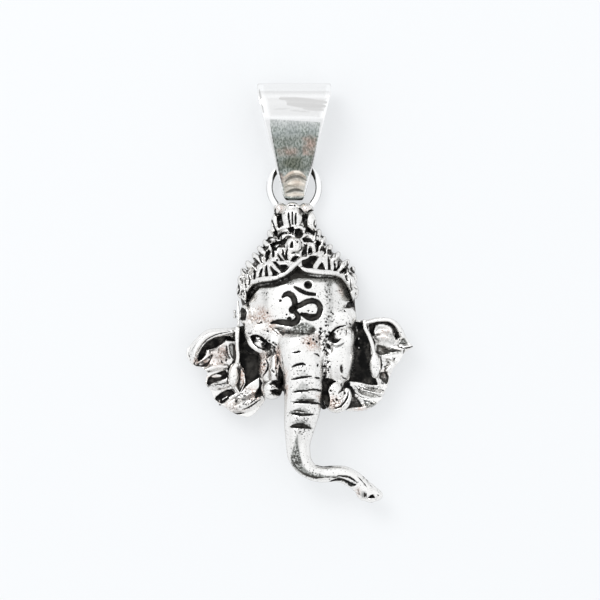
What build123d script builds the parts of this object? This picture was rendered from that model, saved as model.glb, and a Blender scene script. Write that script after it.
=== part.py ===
"""A cast silver elephant head pendant with a crown, a jump ring and a tapered bail, in millimetres.

The pendant lies on its flat back. +X is to its left-hand ear as seen from above, +Y runs from the trunk to
the bail, and +Z is the way the face looks. The origin is the middle of its bounding box, at the surface it
lies on.
The head is modelled upright about the point between the eyes, and then leans on its ring.
"""
from math import cos, pi, radians, sin, sqrt
import os

import numpy as np
from build123d import *

# Head casting: the skull is half of a turned form about the upright axis, flat at the back
FACE_RADIUS = 7.5
FACE_HEIGHT = 18.5
CHIN_DROP = 10.0
CROWN_RADIUS = 7.75
CROWN_HEIGHT = 13.1
CROWN_BASE = 2.4
HEAD_LEAN = 4.0
OPENING_SILL = 1.0

# Trunk
TRUNK_ROOT_DROP = 1.2
TRUNK_DROP = 21.65
TRUNK_REACH = 7.25
TRUNK_LIFT = 6.0
TRUNK_RADIUS = 2.9
TRUNK_CREASE = 0.22
CREASE_COUNT = 7
CREASE_PITCH = 1.64
FIRST_CREASE_DROP = 4.0
NOSTRIL_RADIUS = 0.3
NOSTRIL_SPREAD = 0.5

# Ears: fans of folded sheet that spring from behind the cheeks
EAR_REACH = 8.6
EAR_WALL = 1.1
EAR_ROOT_SPAN = 6.6
EAR_ROOT_DROP = 3.8
EAR_SEAT = 1.7
EAR_TILT = 7.0
ROLL_RADIUS = 0.75
LIP_RADIUS = 0.45
FOLD_RADIUS = 0.75
FOLD_SINK = 0.2
FOLD_SPAN = (0.42, 0.88)
STRAP_RADIUS = 0.36
STRAP_LIFT = 1.2
LEAF_LENGTH = 4.0
LEAF_WIDTH = 1.5
LEAF_THICKNESS = 1.5
LEAF_HANG = 0.4
LEAF_SINK = 0.3

# Face details
EYE_RADIUS = 0.75
EYE_SPAN = 5.35
EYE_DROP = 2.0
EYE_SINK = 0.35
LID_RADIUS = 0.28
LID_OPENING = 2.4
SOCKET_RADIUS = 1.15
BROW_RADIUS = 0.65
CHEEK_SPAN = 4.5
CHEEK_DROP = 5.4
CHEEK_WIDTH = 4.0
CHEEK_LENGTH = 6.2
CHEEK_DEPTH = 4.4
CHEEK_LIFT = 4.3
TUSK_RADIUS = 1.15
TUSK_ROOT_SPAN = 3.6
TUSK_ROOT_DROP = 7.2
TUSK_ROOT_LIFT = 4.4
TUSK_SWEEP = 3.1
TUSK_FALL = 4.0
TUSK_RISE = 1.1
STUB_LENGTH = 1.9
STUB_SPREAD = 0.3
STUB_RISE = 0.5

# Crown relief
BAND_RADIUS = 0.36
BAND_PROUD = 0.05
PLEAT_RADIUS = 0.36
PLEAT_COUNT = 18
PLEAT_FOOT = 0.6
PLEAT_GAP = 0.1
PLEAT_TOP = 8.3
PETAL_RADIUS = 0.42
PETAL_COUNT = 15
PETAL_FOOT = 8.6
PETAL_LENGTH = 1.5
PETAL_FLARE = 0.3
SCALLOP_RADIUS = 0.62
SCALLOP_PROUD = 0.1
BOSS_RADIUS = 1.15
BOSS_HEIGHT = 9.5
BOSS_SINK = 0.2
FINIAL_PETAL_RADIUS = 0.95
FINIAL_PETAL_LENGTH = 1.3
FINIAL_PETAL_SINK = 0.35
FINIAL_PETAL_COUNT = 7
FLUTE_RADIUS = 0.14
FLUTE_SPACING = 0.17
KNOB_RADIUS = 0.8
KNOB_TURN = 37.0

# Engraved sign on the forehead
SIGN_WIDTH = 6.7
SIGN_STROKE = 0.56
SIGN_RISE = 2.15
SIGN_DOT_RADIUS = 0.5

# Jump ring through the finial
RING_WIRE = 0.88
RING_MIDDLE_RADIUS = 3.26
RING_CLEARANCE = 0.15
RING_LIFT = 1.45
RING_BITE = 0.95
RING_SHIFT = 0.3

# Bail: a tapered strip bent into a teardrop loop over the ring
BAIL_LENGTH = 15.4
BAIL_TOP_RADIUS = 3.6
BAIL_TIP_RADIUS = 1.0
BAIL_TOP_WIDTH = 9.7
BAIL_TIP_WIDTH = 2.65
BAIL_SHOULDER = 1.6
BAIL_WALL = 0.7
BAIL_BEVEL = 0.25
BAIL_SLIP = 1.75
RIM_OFFSET = 1.0

# Helpers of the geometry: how far a point keeps from a turned form's edge, a way that no bead runs, the
# reach of the space in front of the back plane, the length below which a gap counts as none, and passes to
# seat a pleat's foot
EDGE_MARGIN = 0.05
OFF_AXIS = (0.3, 0.2, 1)
FRONT_REACH = 40
TOUCHING = 1e-6
PLEAT_PASSES = 4

# Scallop rows of the upper crown
SCALLOP_ROWS = [
    # height, count
    (10.9, 9),
    (12.1, 7),
]

# Skull outline, from the chin to the top of the skull under the crown
SKULL = [
    # height share of FACE_HEIGHT, radius share of FACE_RADIUS
    (0.000, 0.00),
    (0.035, 0.33),
    (0.110, 0.60),
    (0.215, 0.77),
    (0.325, 0.88),
    (0.430, 0.97),
    (0.545, 1.00),
    (0.675, 0.99),
    (0.810, 0.92),
    (0.920, 0.80),
    (1.000, 0.66),
]

# Crown outline, from its brim to the top of the finial
CROWN = [
    # height share of CROWN_HEIGHT, radius share of CROWN_RADIUS
    (0.000, 0.97),
    (0.120, 1.00),
    (0.300, 0.94),
    (0.440, 0.80),
    (0.540, 0.64),
    (0.640, 0.50),
    (0.720, 0.40),
    (0.820, 0.32),
    (1.000, 0.27),
]

# Trunk centreline from its root to its tip
TRUNK = [
    # across share of TRUNK_REACH, drop share of TRUNK_DROP, lift share of TRUNK_LIFT,
    # radius share of TRUNK_RADIUS
    (-0.005, 0.000, 0.74, 0.84),
    (-0.011, 0.088, 0.92, 0.95),
    (-0.014, 0.238, 1.00, 1.00),
    (-0.062, 0.420, 0.95, 0.92),
    (-0.124, 0.538, 0.87, 0.79),
    (-0.179, 0.630, 0.79, 0.63),
    (-0.205, 0.709, 0.73, 0.52),
    (-0.175, 0.785, 0.70, 0.48),
    (-0.045, 0.845, 0.68, 0.44),
    (0.170, 0.878, 0.66, 0.40),
    (0.440, 0.889, 0.64, 0.37),
    (0.670, 0.905, 0.61, 0.35),
    (0.840, 0.947, 0.58, 0.35),
    (1.000, 1.000, 0.55, 0.40),
]

# Ear outlines, from the top of the ear round its tip to the lower lobe, about the ear's root
EAR_OUTLINES = {
    # outward share and height share of EAR_REACH, for the left side (-1) and the right side (1)
    -1: [
        (0.19, 0.38),
        (0.38, 0.44),
        (0.59, 0.40),
        (0.78, 0.30),
        (0.92, 0.16),
        (1.00, 0.03),
        (0.96, -0.09),
        (0.77, -0.18),
        (0.71, -0.42),
        (0.66, -0.62),
        (0.57, -0.73),
        (0.43, -0.85),
        (0.25, -0.93),
        (0.09, -0.91),
        (-0.06, -0.81),
        (-0.14, -0.71),
    ],
    1: [
        (0.22, 0.39),
        (0.43, 0.43),
        (0.60, 0.40),
        (0.73, 0.32),
        (0.81, 0.18),
        (0.86, 0.03),
        (0.93, -0.05),
        (0.83, -0.12),
        (0.68, -0.28),
        (0.56, -0.51),
        (0.50, -0.66),
        (0.34, -0.88),
        (0.17, -0.95),
        (-0.02, -0.98),
        (-0.14, -0.93),
    ],
}
EAR_HUB = [
    # outward share and height share of EAR_REACH, inside the cheek
    (-0.22, -0.40),
    (-0.22, 0.10),
]

# Rows of an ear's outline that its rolled rim, its lower lip and its folds follow
ROLL_ROWS = slice(1, 6)
LIP_ROWS = slice(-6, -1)
FOLD_ROWS = slice(6, -3, 2)

# Raised inner strap of the ear, from its top to its leaf
STRAP = [
    # outward share and height share of EAR_REACH, lift share of STRAP_LIFT
    (0.16, 0.33, 0.70),
    (0.19, 0.15, 1.00),
    (0.20, -0.05, 0.85),
    (0.20, -0.18, 0.50),
]

# Beads round the eye, from the nose outwards
UPPER_LID = [
    # across share of LID_OPENING, height above the eye, proud of the skull
    (-0.50, -0.75, 0.00),
    (0.00, 0.95, 0.05),
    (0.50, 0.35, 0.00),
]
LOWER_LID = [
    # across share of LID_OPENING, height above the eye, proud of the skull
    (-0.50, -0.75, 0.00),
    (0.00, -0.95, 0.05),
    (0.50, 0.35, 0.00),
]
BROW = [
    # across share of LID_OPENING, height above the eye, proud of the skull
    (-0.80, 0.50, -0.20),
    (0.00, 2.00, -0.15),
    (0.65, 2.00, -0.30),
]

# Headband strands, from the temples to where they cross above the forehead
BAND_LEFT = [
    # across share of FACE_RADIUS, height share of FACE_RADIUS
    (-0.93, 0.37),
    (-0.84, 0.66),
    (-0.61, 0.79),
    (-0.30, 0.83),
    (-0.11, 0.92),
    (0.08, 1.04),
    (0.25, 1.15),
]
BAND_RIGHT = [
    # across share of FACE_RADIUS, height share of FACE_RADIUS
    (0.06, 0.94),
    (0.32, 0.90),
    (0.59, 0.84),
    (0.80, 0.68),
    (0.91, 0.42),
]

# Strokes of the engraved sign, about its middle
SIGN_STROKES = [
    # across share and height share of SIGN_WIDTH, a list for each stroke
    [(-0.36, 0.17), (-0.24, 0.32), (-0.09, 0.21), (-0.13, 0.02), (-0.20, -0.03)],
    [(-0.20, -0.03), (-0.06, -0.11), (-0.05, -0.24), (-0.18, -0.34), (-0.34, -0.27), (-0.50, -0.33)],
    [(-0.13, -0.02), (0.02, 0.12), (0.19, 0.17), (0.33, 0.03), (0.26, -0.16), (0.10, -0.21), (0.00, -0.13)],
    [(-0.10, 0.38), (0.02, 0.27), (0.20, 0.24)],
]
SIGN_DOT = (0.10, 0.42)

# Right tusk, a curved horn from its root to its tip
TUSK = [
    # across share of TUSK_SWEEP, drop share of TUSK_FALL, lift share of TUSK_RISE,
    # radius share of TUSK_RADIUS
    (0.00, 0.00, 0.00, 0.90),
    (0.02, 0.50, 0.60, 1.00),
    (0.14, 0.83, 0.90, 0.90),
    (0.45, 1.00, 1.00, 0.74),
    (0.80, 0.86, 0.95, 0.56),
    (0.98, 0.50, 0.90, 0.36),
    (1.00, 0.22, 0.85, 0.16),
]


def turned_half(outline):
    """Half of the form turned about +Y, on the +Z side, from (height, radius) points."""
    side = Spline(*[(radius, height) for height, radius in outline])
    start, end = side @ 0, side @ 1
    edges = [side, Line((0, start.Y), (0, end.Y))]
    edges += [Line((0, p.Y), p) for p in (start, end) if p.X > TOUCHING]
    return revolve(Face(Wire(edges)), axis=Axis((0, 0, 0), (0, -1, 0)), revolution_arc=180)


def outline_points(table, base, height, radius):
    return [(base + share * height, across * radius) for share, across in table]


SKULL_OUTLINE = outline_points(SKULL, -CHIN_DROP, FACE_HEIGHT, FACE_RADIUS)
CROWN_OUTLINE = outline_points(CROWN, CROWN_BASE, CROWN_HEIGHT, CROWN_RADIUS)


def radius_at(outline, height):
    """Radius of a turned form at a height."""
    heights, radii = zip(*outline)
    return float(np.interp(height, heights, radii))


def on_turned(outline, across, height, proud=0.0):
    """A point on a turned form's front, or proud of it."""
    radius = max(radius_at(outline, height) + proud, abs(across) + EDGE_MARGIN)
    return Vector(across, height, sqrt(radius * radius - across * across))


def on_meridian(outline, angle, height, proud=0.0):
    """A point on a turned form at an angle round its upright axis, from +X towards +Z."""
    radius = radius_at(outline, height) + proud
    return Vector(radius * cos(angle), height, radius * sin(angle))


def rod(path, radius):
    """A round rod along a path, with flat ends."""
    ring = Wire.make_circle(radius, Plane(origin=path @ 0, z_dir=path % 0))
    return Solid.sweep(Face(ring), path)


def pipe(points, radius):
    """A round bead along a smooth curve, with ball ends."""
    path = Spline(*points)
    return rod(path, radius).fuse(Pos(path @ 0) * Sphere(radius), Pos(path @ 1) * Sphere(radius))


def bead(start, end, radius):
    """A straight bead with ball ends, turned about its own axis."""
    axis = end - start
    half = axis.length / 2
    side = Line((0, half + radius), (0, -half - radius))
    caps = [CenterArc((0, half), radius, 0, 90), CenterArc((0, -half), radius, -90, 90)]
    face = Face(Wire([side, *caps, Line((radius, half), (radius, -half))]))
    plane = Plane(origin=(start + end) / 2, x_dir=axis.cross(Vector(*OFF_AXIS)), z_dir=axis)
    return plane.location * (Rot(90, 0, 0) * revolve(face, axis=Axis.Y))


def horn(centres, radii):
    """A round form lofted through circles that stand square to its centreline."""
    sections = []
    for i, centre in enumerate(centres):
        before, after = centres[max(i - 1, 0)], centres[min(i + 1, len(centres) - 1)]
        along = (after - before).normalized()
        plane = Plane(origin=centre, x_dir=along.cross(Vector(0, 0, 1)), z_dir=along)
        sections.append(Face(Wire.make_circle(radii[i], plane)))
    return loft(sections)


def ellipsoid(centre, width, length, depth):
    return Pos(centre) * scale(Sphere(0.5), by=(width, length, depth))


def make_skull():
    return turned_half(SKULL_OUTLINE)


def make_trunk():
    """The trunk, with a crease between each pair of its upper folds."""
    across, drop, lift, radius = (np.array(column) for column in zip(*TRUNK))
    across, drop = across * TRUNK_REACH, drop * TRUNK_DROP
    lift, radius = lift * TRUNK_LIFT, radius * TRUNK_RADIUS
    centres = [Vector(x, -TRUNK_ROOT_DROP - d, z) for x, d, z in zip(across, drop, lift)]
    trunk = horn(centres, list(radius)).fuse(Pos(centres[-1]) * Sphere(radius[-1]))
    for i in range(CREASE_COUNT):
        at = FIRST_CREASE_DROP + i * CREASE_PITCH - TRUNK_ROOT_DROP
        x, z, r = (float(np.interp(at, drop, column)) for column in (across, lift, radius))
        across_trunk = Plane(origin=(x, -TRUNK_ROOT_DROP - at, z), z_dir=(0, 1, 0))
        trunk = trunk - across_trunk.location * Torus(r, TRUNK_CREASE)
    tip, along = centres[-1], (centres[-1] - centres[-2]).normalized()
    beside = along.cross(Vector(0, 0, 1)).normalized()
    for side in (-1, 1):
        mouth = tip + along * radius[-1] + beside * (side * NOSTRIL_SPREAD)
        trunk = trunk - Pos(mouth) * Sphere(NOSTRIL_RADIUS)
    return trunk


def ear_place(side, share, lift, row):
    """A point of an ear, at a share of the way from its root to a row of its outline."""
    across, height = row
    return Vector(side * across * share * EAR_REACH, height * share * EAR_REACH, lift)


def make_ear(side):
    """One ear: a tilted sheet with a rolled upper rim, raised folds, a strap and a leaf."""
    rows = EAR_OUTLINES[side]
    margin = [ear_place(side, 1, 0, row) for row in rows]
    hub = [ear_place(side, 1, 0, row) for row in EAR_HUB]
    edges = [Spline(*margin), Line(margin[-1], hub[0]), Line(hub[0], hub[1]), Line(hub[1], margin[0])]
    sheet = extrude(Face(Wire(edges)), amount=EAR_WALL, dir=(0, 0, 1))
    roll_share, lip_share = (1 - radius / EAR_REACH for radius in (ROLL_RADIUS, LIP_RADIUS))
    roll = [ear_place(side, roll_share, EAR_WALL + ROLL_RADIUS / 2, row) for row in rows[ROLL_ROWS]]
    lip = [ear_place(side, lip_share, EAR_WALL, row) for row in rows[LIP_ROWS]]
    raised = [pipe(roll, ROLL_RADIUS), pipe(lip, LIP_RADIUS)]
    for row in rows[FOLD_ROWS]:
        fold = [ear_place(side, share, EAR_WALL - FOLD_SINK, row) for share in FOLD_SPAN]
        raised.append(bead(*fold, FOLD_RADIUS))
    strap = [
        Vector(side * across * EAR_REACH, height * EAR_REACH, EAR_WALL + lift * STRAP_LIFT)
        for across, height, lift in STRAP
    ]
    leaf_at = strap[-1] + Vector(0, -LEAF_LENGTH * LEAF_HANG, -LEAF_THICKNESS * LEAF_SINK)
    raised += [
        pipe(strap, STRAP_RADIUS),
        ellipsoid(leaf_at, LEAF_WIDTH, LEAF_LENGTH, LEAF_THICKNESS),
        bead(strap[0], strap[0] + Vector(0, 0, -STRAP_LIFT), STRAP_RADIUS),
    ]
    place = Pos(side * EAR_ROOT_SPAN, -EAR_ROOT_DROP, EAR_SEAT) * Rot(0, -side * EAR_TILT, 0)
    return place * sheet.fuse(*raised)


def beside_eye(side, row):
    """A point on the skull beside an eye, from a row of a lid's or the brow's table."""
    across, up, proud = row
    return on_turned(SKULL_OUTLINE, side * (EYE_SPAN + across * LID_OPENING), -EYE_DROP + up, proud)


def make_eye(side):
    """Eyeball, lids and brow, seated on the skull."""
    centre = on_turned(SKULL_OUTLINE, side * EYE_SPAN, -EYE_DROP, -EYE_SINK)
    socket = Pos(centre) * Sphere(SOCKET_RADIUS)
    raised = [Pos(centre) * Sphere(EYE_RADIUS)]
    for table, radius in ((UPPER_LID, LID_RADIUS), (LOWER_LID, LID_RADIUS), (BROW, BROW_RADIUS)):
        raised.append(pipe([beside_eye(side, row) for row in table], radius))
    return socket, raised


def make_cheek(side):
    return ellipsoid((side * CHEEK_SPAN, -CHEEK_DROP, CHEEK_LIFT), CHEEK_WIDTH, CHEEK_LENGTH, CHEEK_DEPTH)


def make_tusks():
    """A broken stub on one side and a whole curved tusk on the other."""
    root = Vector(TUSK_ROOT_SPAN, -TUSK_ROOT_DROP, TUSK_ROOT_LIFT)
    centres = [
        root + Vector(across * TUSK_SWEEP, -drop * TUSK_FALL, lift * TUSK_RISE)
        for across, drop, lift, _ in TUSK
    ]
    radii = [share * TUSK_RADIUS for *_, share in TUSK]
    whole = horn(centres, radii)
    stub_root = Vector(-root.X, root.Y, root.Z)
    stub = bead(stub_root, stub_root + Vector(-STUB_SPREAD, -STUB_LENGTH, STUB_RISE), TUSK_RADIUS)
    return [whole, stub]


def band_points(table, proud):
    return [
        on_turned(CROWN_OUTLINE, across * FACE_RADIUS, height * FACE_RADIUS, proud)
        for across, height in table
    ]


def make_crown_body():
    """The crown's dome, open under the headband where the forehead shows."""
    dome = turned_half(CROWN_OUTLINE)
    arch = [Vector(p.X, p.Y - BAND_RADIUS / 2, 0) for p in band_points(BAND_LEFT[:-2] + BAND_RIGHT, 0)]
    sill = CROWN_BASE - OPENING_SILL
    left, right = Vector(arch[0].X, sill, 0), Vector(arch[-1].X, sill, 0)
    opening = Face(Wire([Spline(*arch), Line(arch[-1], right), Line(right, left), Line(left, arch[0])]))
    return dome - extrude(opening, amount=CROWN_RADIUS * 2, dir=(0, 0, 1))


def band_height(across):
    """Height of the headband at a place across the forehead."""
    rows = BAND_LEFT[:-2] + BAND_RIGHT
    return float(np.interp(across / FACE_RADIUS, [r[0] for r in rows], [r[1] for r in rows])) * FACE_RADIUS


def make_crown_relief():
    """Headband strands, pleats, petals, and scallops with a boss, a list for each."""
    strands = [
        pipe(band_points(table, proud), BAND_RADIUS)
        for table, proud in ((BAND_LEFT, BAND_PROUD), (BAND_RIGHT, 0))
    ]
    pleats, petals = [], []
    for i in range(PLEAT_COUNT):
        angle = pi * (i + 0.5) / PLEAT_COUNT
        lowest = CROWN_BASE + PLEAT_FOOT
        foot = lowest
        for _ in range(PLEAT_PASSES):
            foot = max(lowest, band_height(radius_at(CROWN_OUTLINE, foot) * cos(angle)) + PLEAT_GAP)
        heights = (foot, (foot + PLEAT_TOP) / 2, PLEAT_TOP)
        arc = ThreePointArc(*(on_meridian(CROWN_OUTLINE, angle, height) for height in heights))
        pleats.append(rod(arc, PLEAT_RADIUS))
    for i in range(PETAL_COUNT):
        angle = pi * (i + 0.5) / PETAL_COUNT
        foot = on_meridian(CROWN_OUTLINE, angle, PETAL_FOOT)
        tip = on_meridian(CROWN_OUTLINE, angle, PETAL_FOOT + PETAL_LENGTH, PETAL_FLARE)
        petals.append(bead(foot, tip, PETAL_RADIUS))
    scallops = [Pos(on_turned(CROWN_OUTLINE, 0, BOSS_HEIGHT, -BOSS_SINK)) * Sphere(BOSS_RADIUS)]
    for height, count in SCALLOP_ROWS:
        for i in range(count):
            angle = pi * (i + 0.5) / count
            middle = on_meridian(CROWN_OUTLINE, angle, height, SCALLOP_PROUD)
            scallops.append(Pos(middle) * Sphere(SCALLOP_RADIUS))
    return strands, pleats, petals, scallops


def make_finial():
    """Petals of the bud at the top, and the grooves that flute them."""
    top = CROWN_BASE + CROWN_HEIGHT - FINIAL_PETAL_RADIUS
    foot = top - FINIAL_PETAL_LENGTH
    front = Box(*[FRONT_REACH] * 3, align=(Align.CENTER, Align.CENTER, Align.MIN))
    petals, flutes = [], []
    for i in range(FINIAL_PETAL_COUNT):
        angle = pi * i / (FINIAL_PETAL_COUNT - 1)
        start, end = (on_meridian(CROWN_OUTLINE, angle, h, -FINIAL_PETAL_SINK) for h in (foot, top))
        petals.append(bead(start, end, FINIAL_PETAL_RADIUS) & front)
        for k in (-1, 0, 1):
            proud = FINIAL_PETAL_RADIUS - FINIAL_PETAL_SINK - abs(k) * FLUTE_RADIUS / 2
            line = [on_meridian(CROWN_OUTLINE, angle + k * FLUTE_SPACING, h, proud) for h in (foot, top)]
            flutes.append(bead(*line, FLUTE_RADIUS))
    return petals, flutes


def make_crown():
    crown = make_crown_body()
    strands, pleats, petals, scallops = make_crown_relief()
    buds, flutes = make_finial()
    for group in (strands, pleats, petals, scallops, buds):
        crown = crown.fuse(*group)
    return crown.cut(*flutes)


def make_sign_cuts():
    """The sign's strokes as round grooves that follow the forehead."""
    cuts = []
    for stroke in SIGN_STROKES:
        points = [
            on_turned(SKULL_OUTLINE, across * SIGN_WIDTH, SIGN_RISE + up * SIGN_WIDTH)
            for across, up in stroke
        ]
        cuts.append(pipe(points, SIGN_STROKE / 2))
    across, up = SIGN_DOT
    dot = on_turned(SKULL_OUTLINE, across * SIGN_WIDTH, SIGN_RISE + up * SIGN_WIDTH)
    cuts.append(Pos(dot) * Sphere(SIGN_DOT_RADIUS))
    return cuts


def ring_centre():
    """Middle of the jump ring, which hangs through the top of the leaning finial."""
    finial_top = CROWN_BASE + CROWN_HEIGHT
    lean = radians(HEAD_LEAN)
    top = Vector(-finial_top * sin(lean) + RING_SHIFT, finial_top * cos(lean), 0)
    return top + Vector(0, RING_MIDDLE_RADIUS - RING_BITE, RING_LIFT)


def make_head():
    """The whole casting, leaning, with the ring's way through its finial."""
    head = make_skull().fuse(make_trunk()).fuse(*make_tusks())
    for side in (-1, 1):
        socket, lids = make_eye(side)
        head = (head.fuse(make_cheek(side)) - socket).fuse(*lids)
    head = head.cut(*make_sign_cuts())
    head = head.fuse(make_ear(-1)).fuse(make_ear(1)).fuse(make_crown())
    head = Rot(0, 0, HEAD_LEAN) * head
    middle = ring_centre()
    knobs = []
    for turn in (-KNOB_TURN, KNOB_TURN):
        out = Vector(sin(radians(turn)), -cos(radians(turn)), 0)
        knobs.append(Pos(middle + out * RING_MIDDLE_RADIUS) * Sphere(KNOB_RADIUS))
    tunnel = Pos(middle) * Torus(RING_MIDDLE_RADIUS, RING_WIRE / 2 + RING_CLEARANCE)
    return head.fuse(*knobs) - tunnel


def make_jump_ring():
    return Pos(ring_centre()) * Torus(RING_MIDDLE_RADIUS, RING_WIRE / 2)


def make_bail():
    """A strip bent to a teardrop loop seen from the side, and a taper seen from the front."""
    middle = ring_centre()
    tip = middle.Y - BAIL_SLIP
    top = tip + BAIL_LENGTH

    def teardrop(inset):
        ends = [(top - BAIL_TOP_RADIUS, BAIL_TOP_RADIUS), (tip + BAIL_TIP_RADIUS, BAIL_TIP_RADIUS)]
        return make_hull([(Pos(y, z) * Circle(z - inset)).edge() for y, z in ends])

    side_view = Plane(origin=(middle.X, 0, 0), x_dir=(0, 1, 0), z_dir=(1, 0, 0))
    loop = extrude(side_view * (teardrop(0) - teardrop(BAIL_WALL)), amount=BAIL_TOP_WIDTH / 2, both=True)
    wide, narrow = BAIL_TOP_WIDTH / 2, BAIL_TIP_WIDTH / 2
    shoulder = top - BAIL_SHOULDER
    corners = [(-narrow, tip), (narrow, tip), (wide, shoulder), (wide, top), (-wide, top), (-wide, shoulder)]
    taper = extrude(Pos(middle.X, 0) * Polygon(*corners, align=None), amount=2 * BAIL_TOP_RADIUS)
    bail = loop & taper
    long_edges = [edge for edge in bail.edges() if edge.length > BAIL_LENGTH / 3]
    return chamfer([edge for edge in long_edges if abs((edge @ 0.5).X - middle.X) > RIM_OFFSET], BAIL_BEVEL)


nodes = {"head": make_head(), "jump_ring": make_jump_ring(), "bail": make_bail()}
box = Compound(list(nodes.values())).bounding_box()
to_origin = Pos(-box.center().X, -box.center().Y, -box.min.Z)
os.makedirs("parts", exist_ok=True)
for name, shape in nodes.items():
    export_step(to_origin * shape, f"parts/{name}.step")
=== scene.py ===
"""The elephant head pendant, dressed for its picture.

The casting is carved as a silversmith's wax is: lumps and bars are run together into one skin, and its
folds, creases and engraving are pressed in. The carving is worked in millimetres about the point between the
eyes, with +X to the right, +Y up to the bail and +Z off the table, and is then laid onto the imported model.
Where the rows of a table follow points, these come last, as (x, y).
"""
import math

import bmesh
import bpy
import numpy as np
from mathutils import Matrix, Vector


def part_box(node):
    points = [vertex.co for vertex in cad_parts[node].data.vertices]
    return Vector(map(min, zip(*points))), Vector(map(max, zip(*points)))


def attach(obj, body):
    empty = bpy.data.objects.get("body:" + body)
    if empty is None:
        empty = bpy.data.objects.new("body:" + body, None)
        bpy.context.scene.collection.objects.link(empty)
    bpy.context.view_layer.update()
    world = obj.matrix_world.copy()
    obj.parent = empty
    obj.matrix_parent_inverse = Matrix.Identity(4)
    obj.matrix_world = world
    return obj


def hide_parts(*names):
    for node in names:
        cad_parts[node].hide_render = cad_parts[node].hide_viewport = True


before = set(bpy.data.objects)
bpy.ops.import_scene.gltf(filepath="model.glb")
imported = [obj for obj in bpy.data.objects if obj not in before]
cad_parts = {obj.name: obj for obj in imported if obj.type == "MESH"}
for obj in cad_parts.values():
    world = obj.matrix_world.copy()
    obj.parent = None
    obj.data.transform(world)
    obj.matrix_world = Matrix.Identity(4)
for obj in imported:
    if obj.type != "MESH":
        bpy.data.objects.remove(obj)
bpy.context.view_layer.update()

MM = 0.001
scene = bpy.context.scene

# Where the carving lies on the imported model: the bail's top and middle are known in both
BAIL_TOP_Y = 31.42
BAIL_MIDDLE_X = -0.781
HEAD_LEAN = math.radians(4.0)

# Size of the cells from which each piece's skin is made
HEAD_GRAIN = 0.12
CROWN_GRAIN = 0.1
EAR_GRAIN = 0.1
BAIL_GRAIN = 0.115

# How far a point's facing is turned up where strokes begin to reach it, and where they reach it in full
TURNED_AWAY = -0.1
FACING_UP = 0.3
# The least share of the front that still takes a mark
SEEN = 0.02
# How much sooner than the depth the mark of a stroke and of a shade grows full
STROKE_MARK = 1.6
SHADE_MARK = 1.4
# How far a patch and a cover reach past their outline, in shares of their wall, and a tint past its middle
PATCH_MARGIN = 0.4
COVER_MARGIN = 0.5
TINT_REACH = 1.3
# Ends of a stroke as shares of its width: as wide as its middle, rounded off, or nearly pointed
FULL = (1, 1)
BROAD = (0.6, 0.6)
BLUNT = (0.5, 0.5)
SLIM = (0.4, 0.4)
POINTED = (0.35, 0.35)


def curve_through(rows, spacing=0.3):
    """More rows along the smooth curve through a few."""
    rows = np.array(rows, float)
    ends = np.vstack([2 * rows[0] - rows[1], rows, 2 * rows[-1] - rows[-2]])
    out = []
    for a, b, c, d in zip(ends, ends[1:], ends[2:], ends[3:]):
        count = max(1, int(np.linalg.norm(c[:2] - b[:2]) / spacing))
        t = (np.arange(count) / count)[:, None]
        bend = (2 * a - 5 * b + 4 * c - d) * t**2 + (3 * b - a - 3 * c + d) * t**3
        out.append(0.5 * (2 * b + (c - a) * t + bend))
    return np.vstack(out + [rows[-1:]])


def ease(share):
    """A soft step from 0 to 1."""
    share = np.clip(share, 0, 1)
    return share * share * (3 - 2 * share)


def joined(parts):
    """One bmesh that holds all the parts."""
    whole = bmesh.new()
    scratch = bpy.data.meshes.new("scratch")
    for part in parts:
        part.to_mesh(scratch)
        part.free()
        whole.from_mesh(scratch)
    bpy.data.meshes.remove(scratch)
    return whole


def linked(bm, name):
    """The bmesh as an object in the scene."""
    mesh = bpy.data.meshes.new(name)
    bm.to_mesh(mesh)
    bm.free()
    piece = bpy.data.objects.new(name, mesh)
    scene.collection.objects.link(piece)
    return piece


def egg(centre, size, turn=0.0):
    """An egg-shaped lump of that width, length and depth, turned in degrees about Z."""
    bm = bmesh.new()
    place = Matrix.Translation(centre) @ Matrix.Rotation(math.radians(turn), 4, "Z")
    place = place @ Matrix.Diagonal((*[s / 2 for s in size], 1))
    bmesh.ops.create_uvsphere(bm, u_segments=24, v_segments=14, radius=1, matrix=place)
    return bm


def bar(rows, spacing=0.3, sides=18):
    """A round bar with domed ends, whose rows give its x, y, z and radius."""
    rows = curve_through(rows, spacing)
    centres = [Vector(row[:3]) for row in rows]
    last = len(rows) - 1
    bm = bmesh.new()
    before = None
    for i, centre in enumerate(centres):
        along = (centres[min(i + 1, last)] - centres[max(i - 1, 0)]).normalized()
        across = along.cross(Vector((0, 0, 1))).normalized()
        turn = Matrix((across, along.cross(across), along)).transposed().to_4x4()
        place = Matrix.Translation(centre) @ turn
        capped = i in (0, last)
        ring = bmesh.ops.create_circle(bm, segments=sides, radius=rows[i][3], matrix=place, cap_ends=capped)
        edges = {edge for vert in ring["verts"] for edge in vert.link_edges}
        if before:
            bmesh.ops.bridge_loops(bm, edges=[e for e in before | edges if len(e.link_faces) < 2])
            edges = {e for vert in ring["verts"] for e in vert.link_edges if len(e.link_faces) < 2}
        before = edges
    bmesh.ops.recalc_face_normals(bm, faces=bm.faces)
    domes = [egg(centres[i], [2 * rows[i][3]] * 3) for i in (0, last)]
    return joined([bm, *domes])


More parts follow.
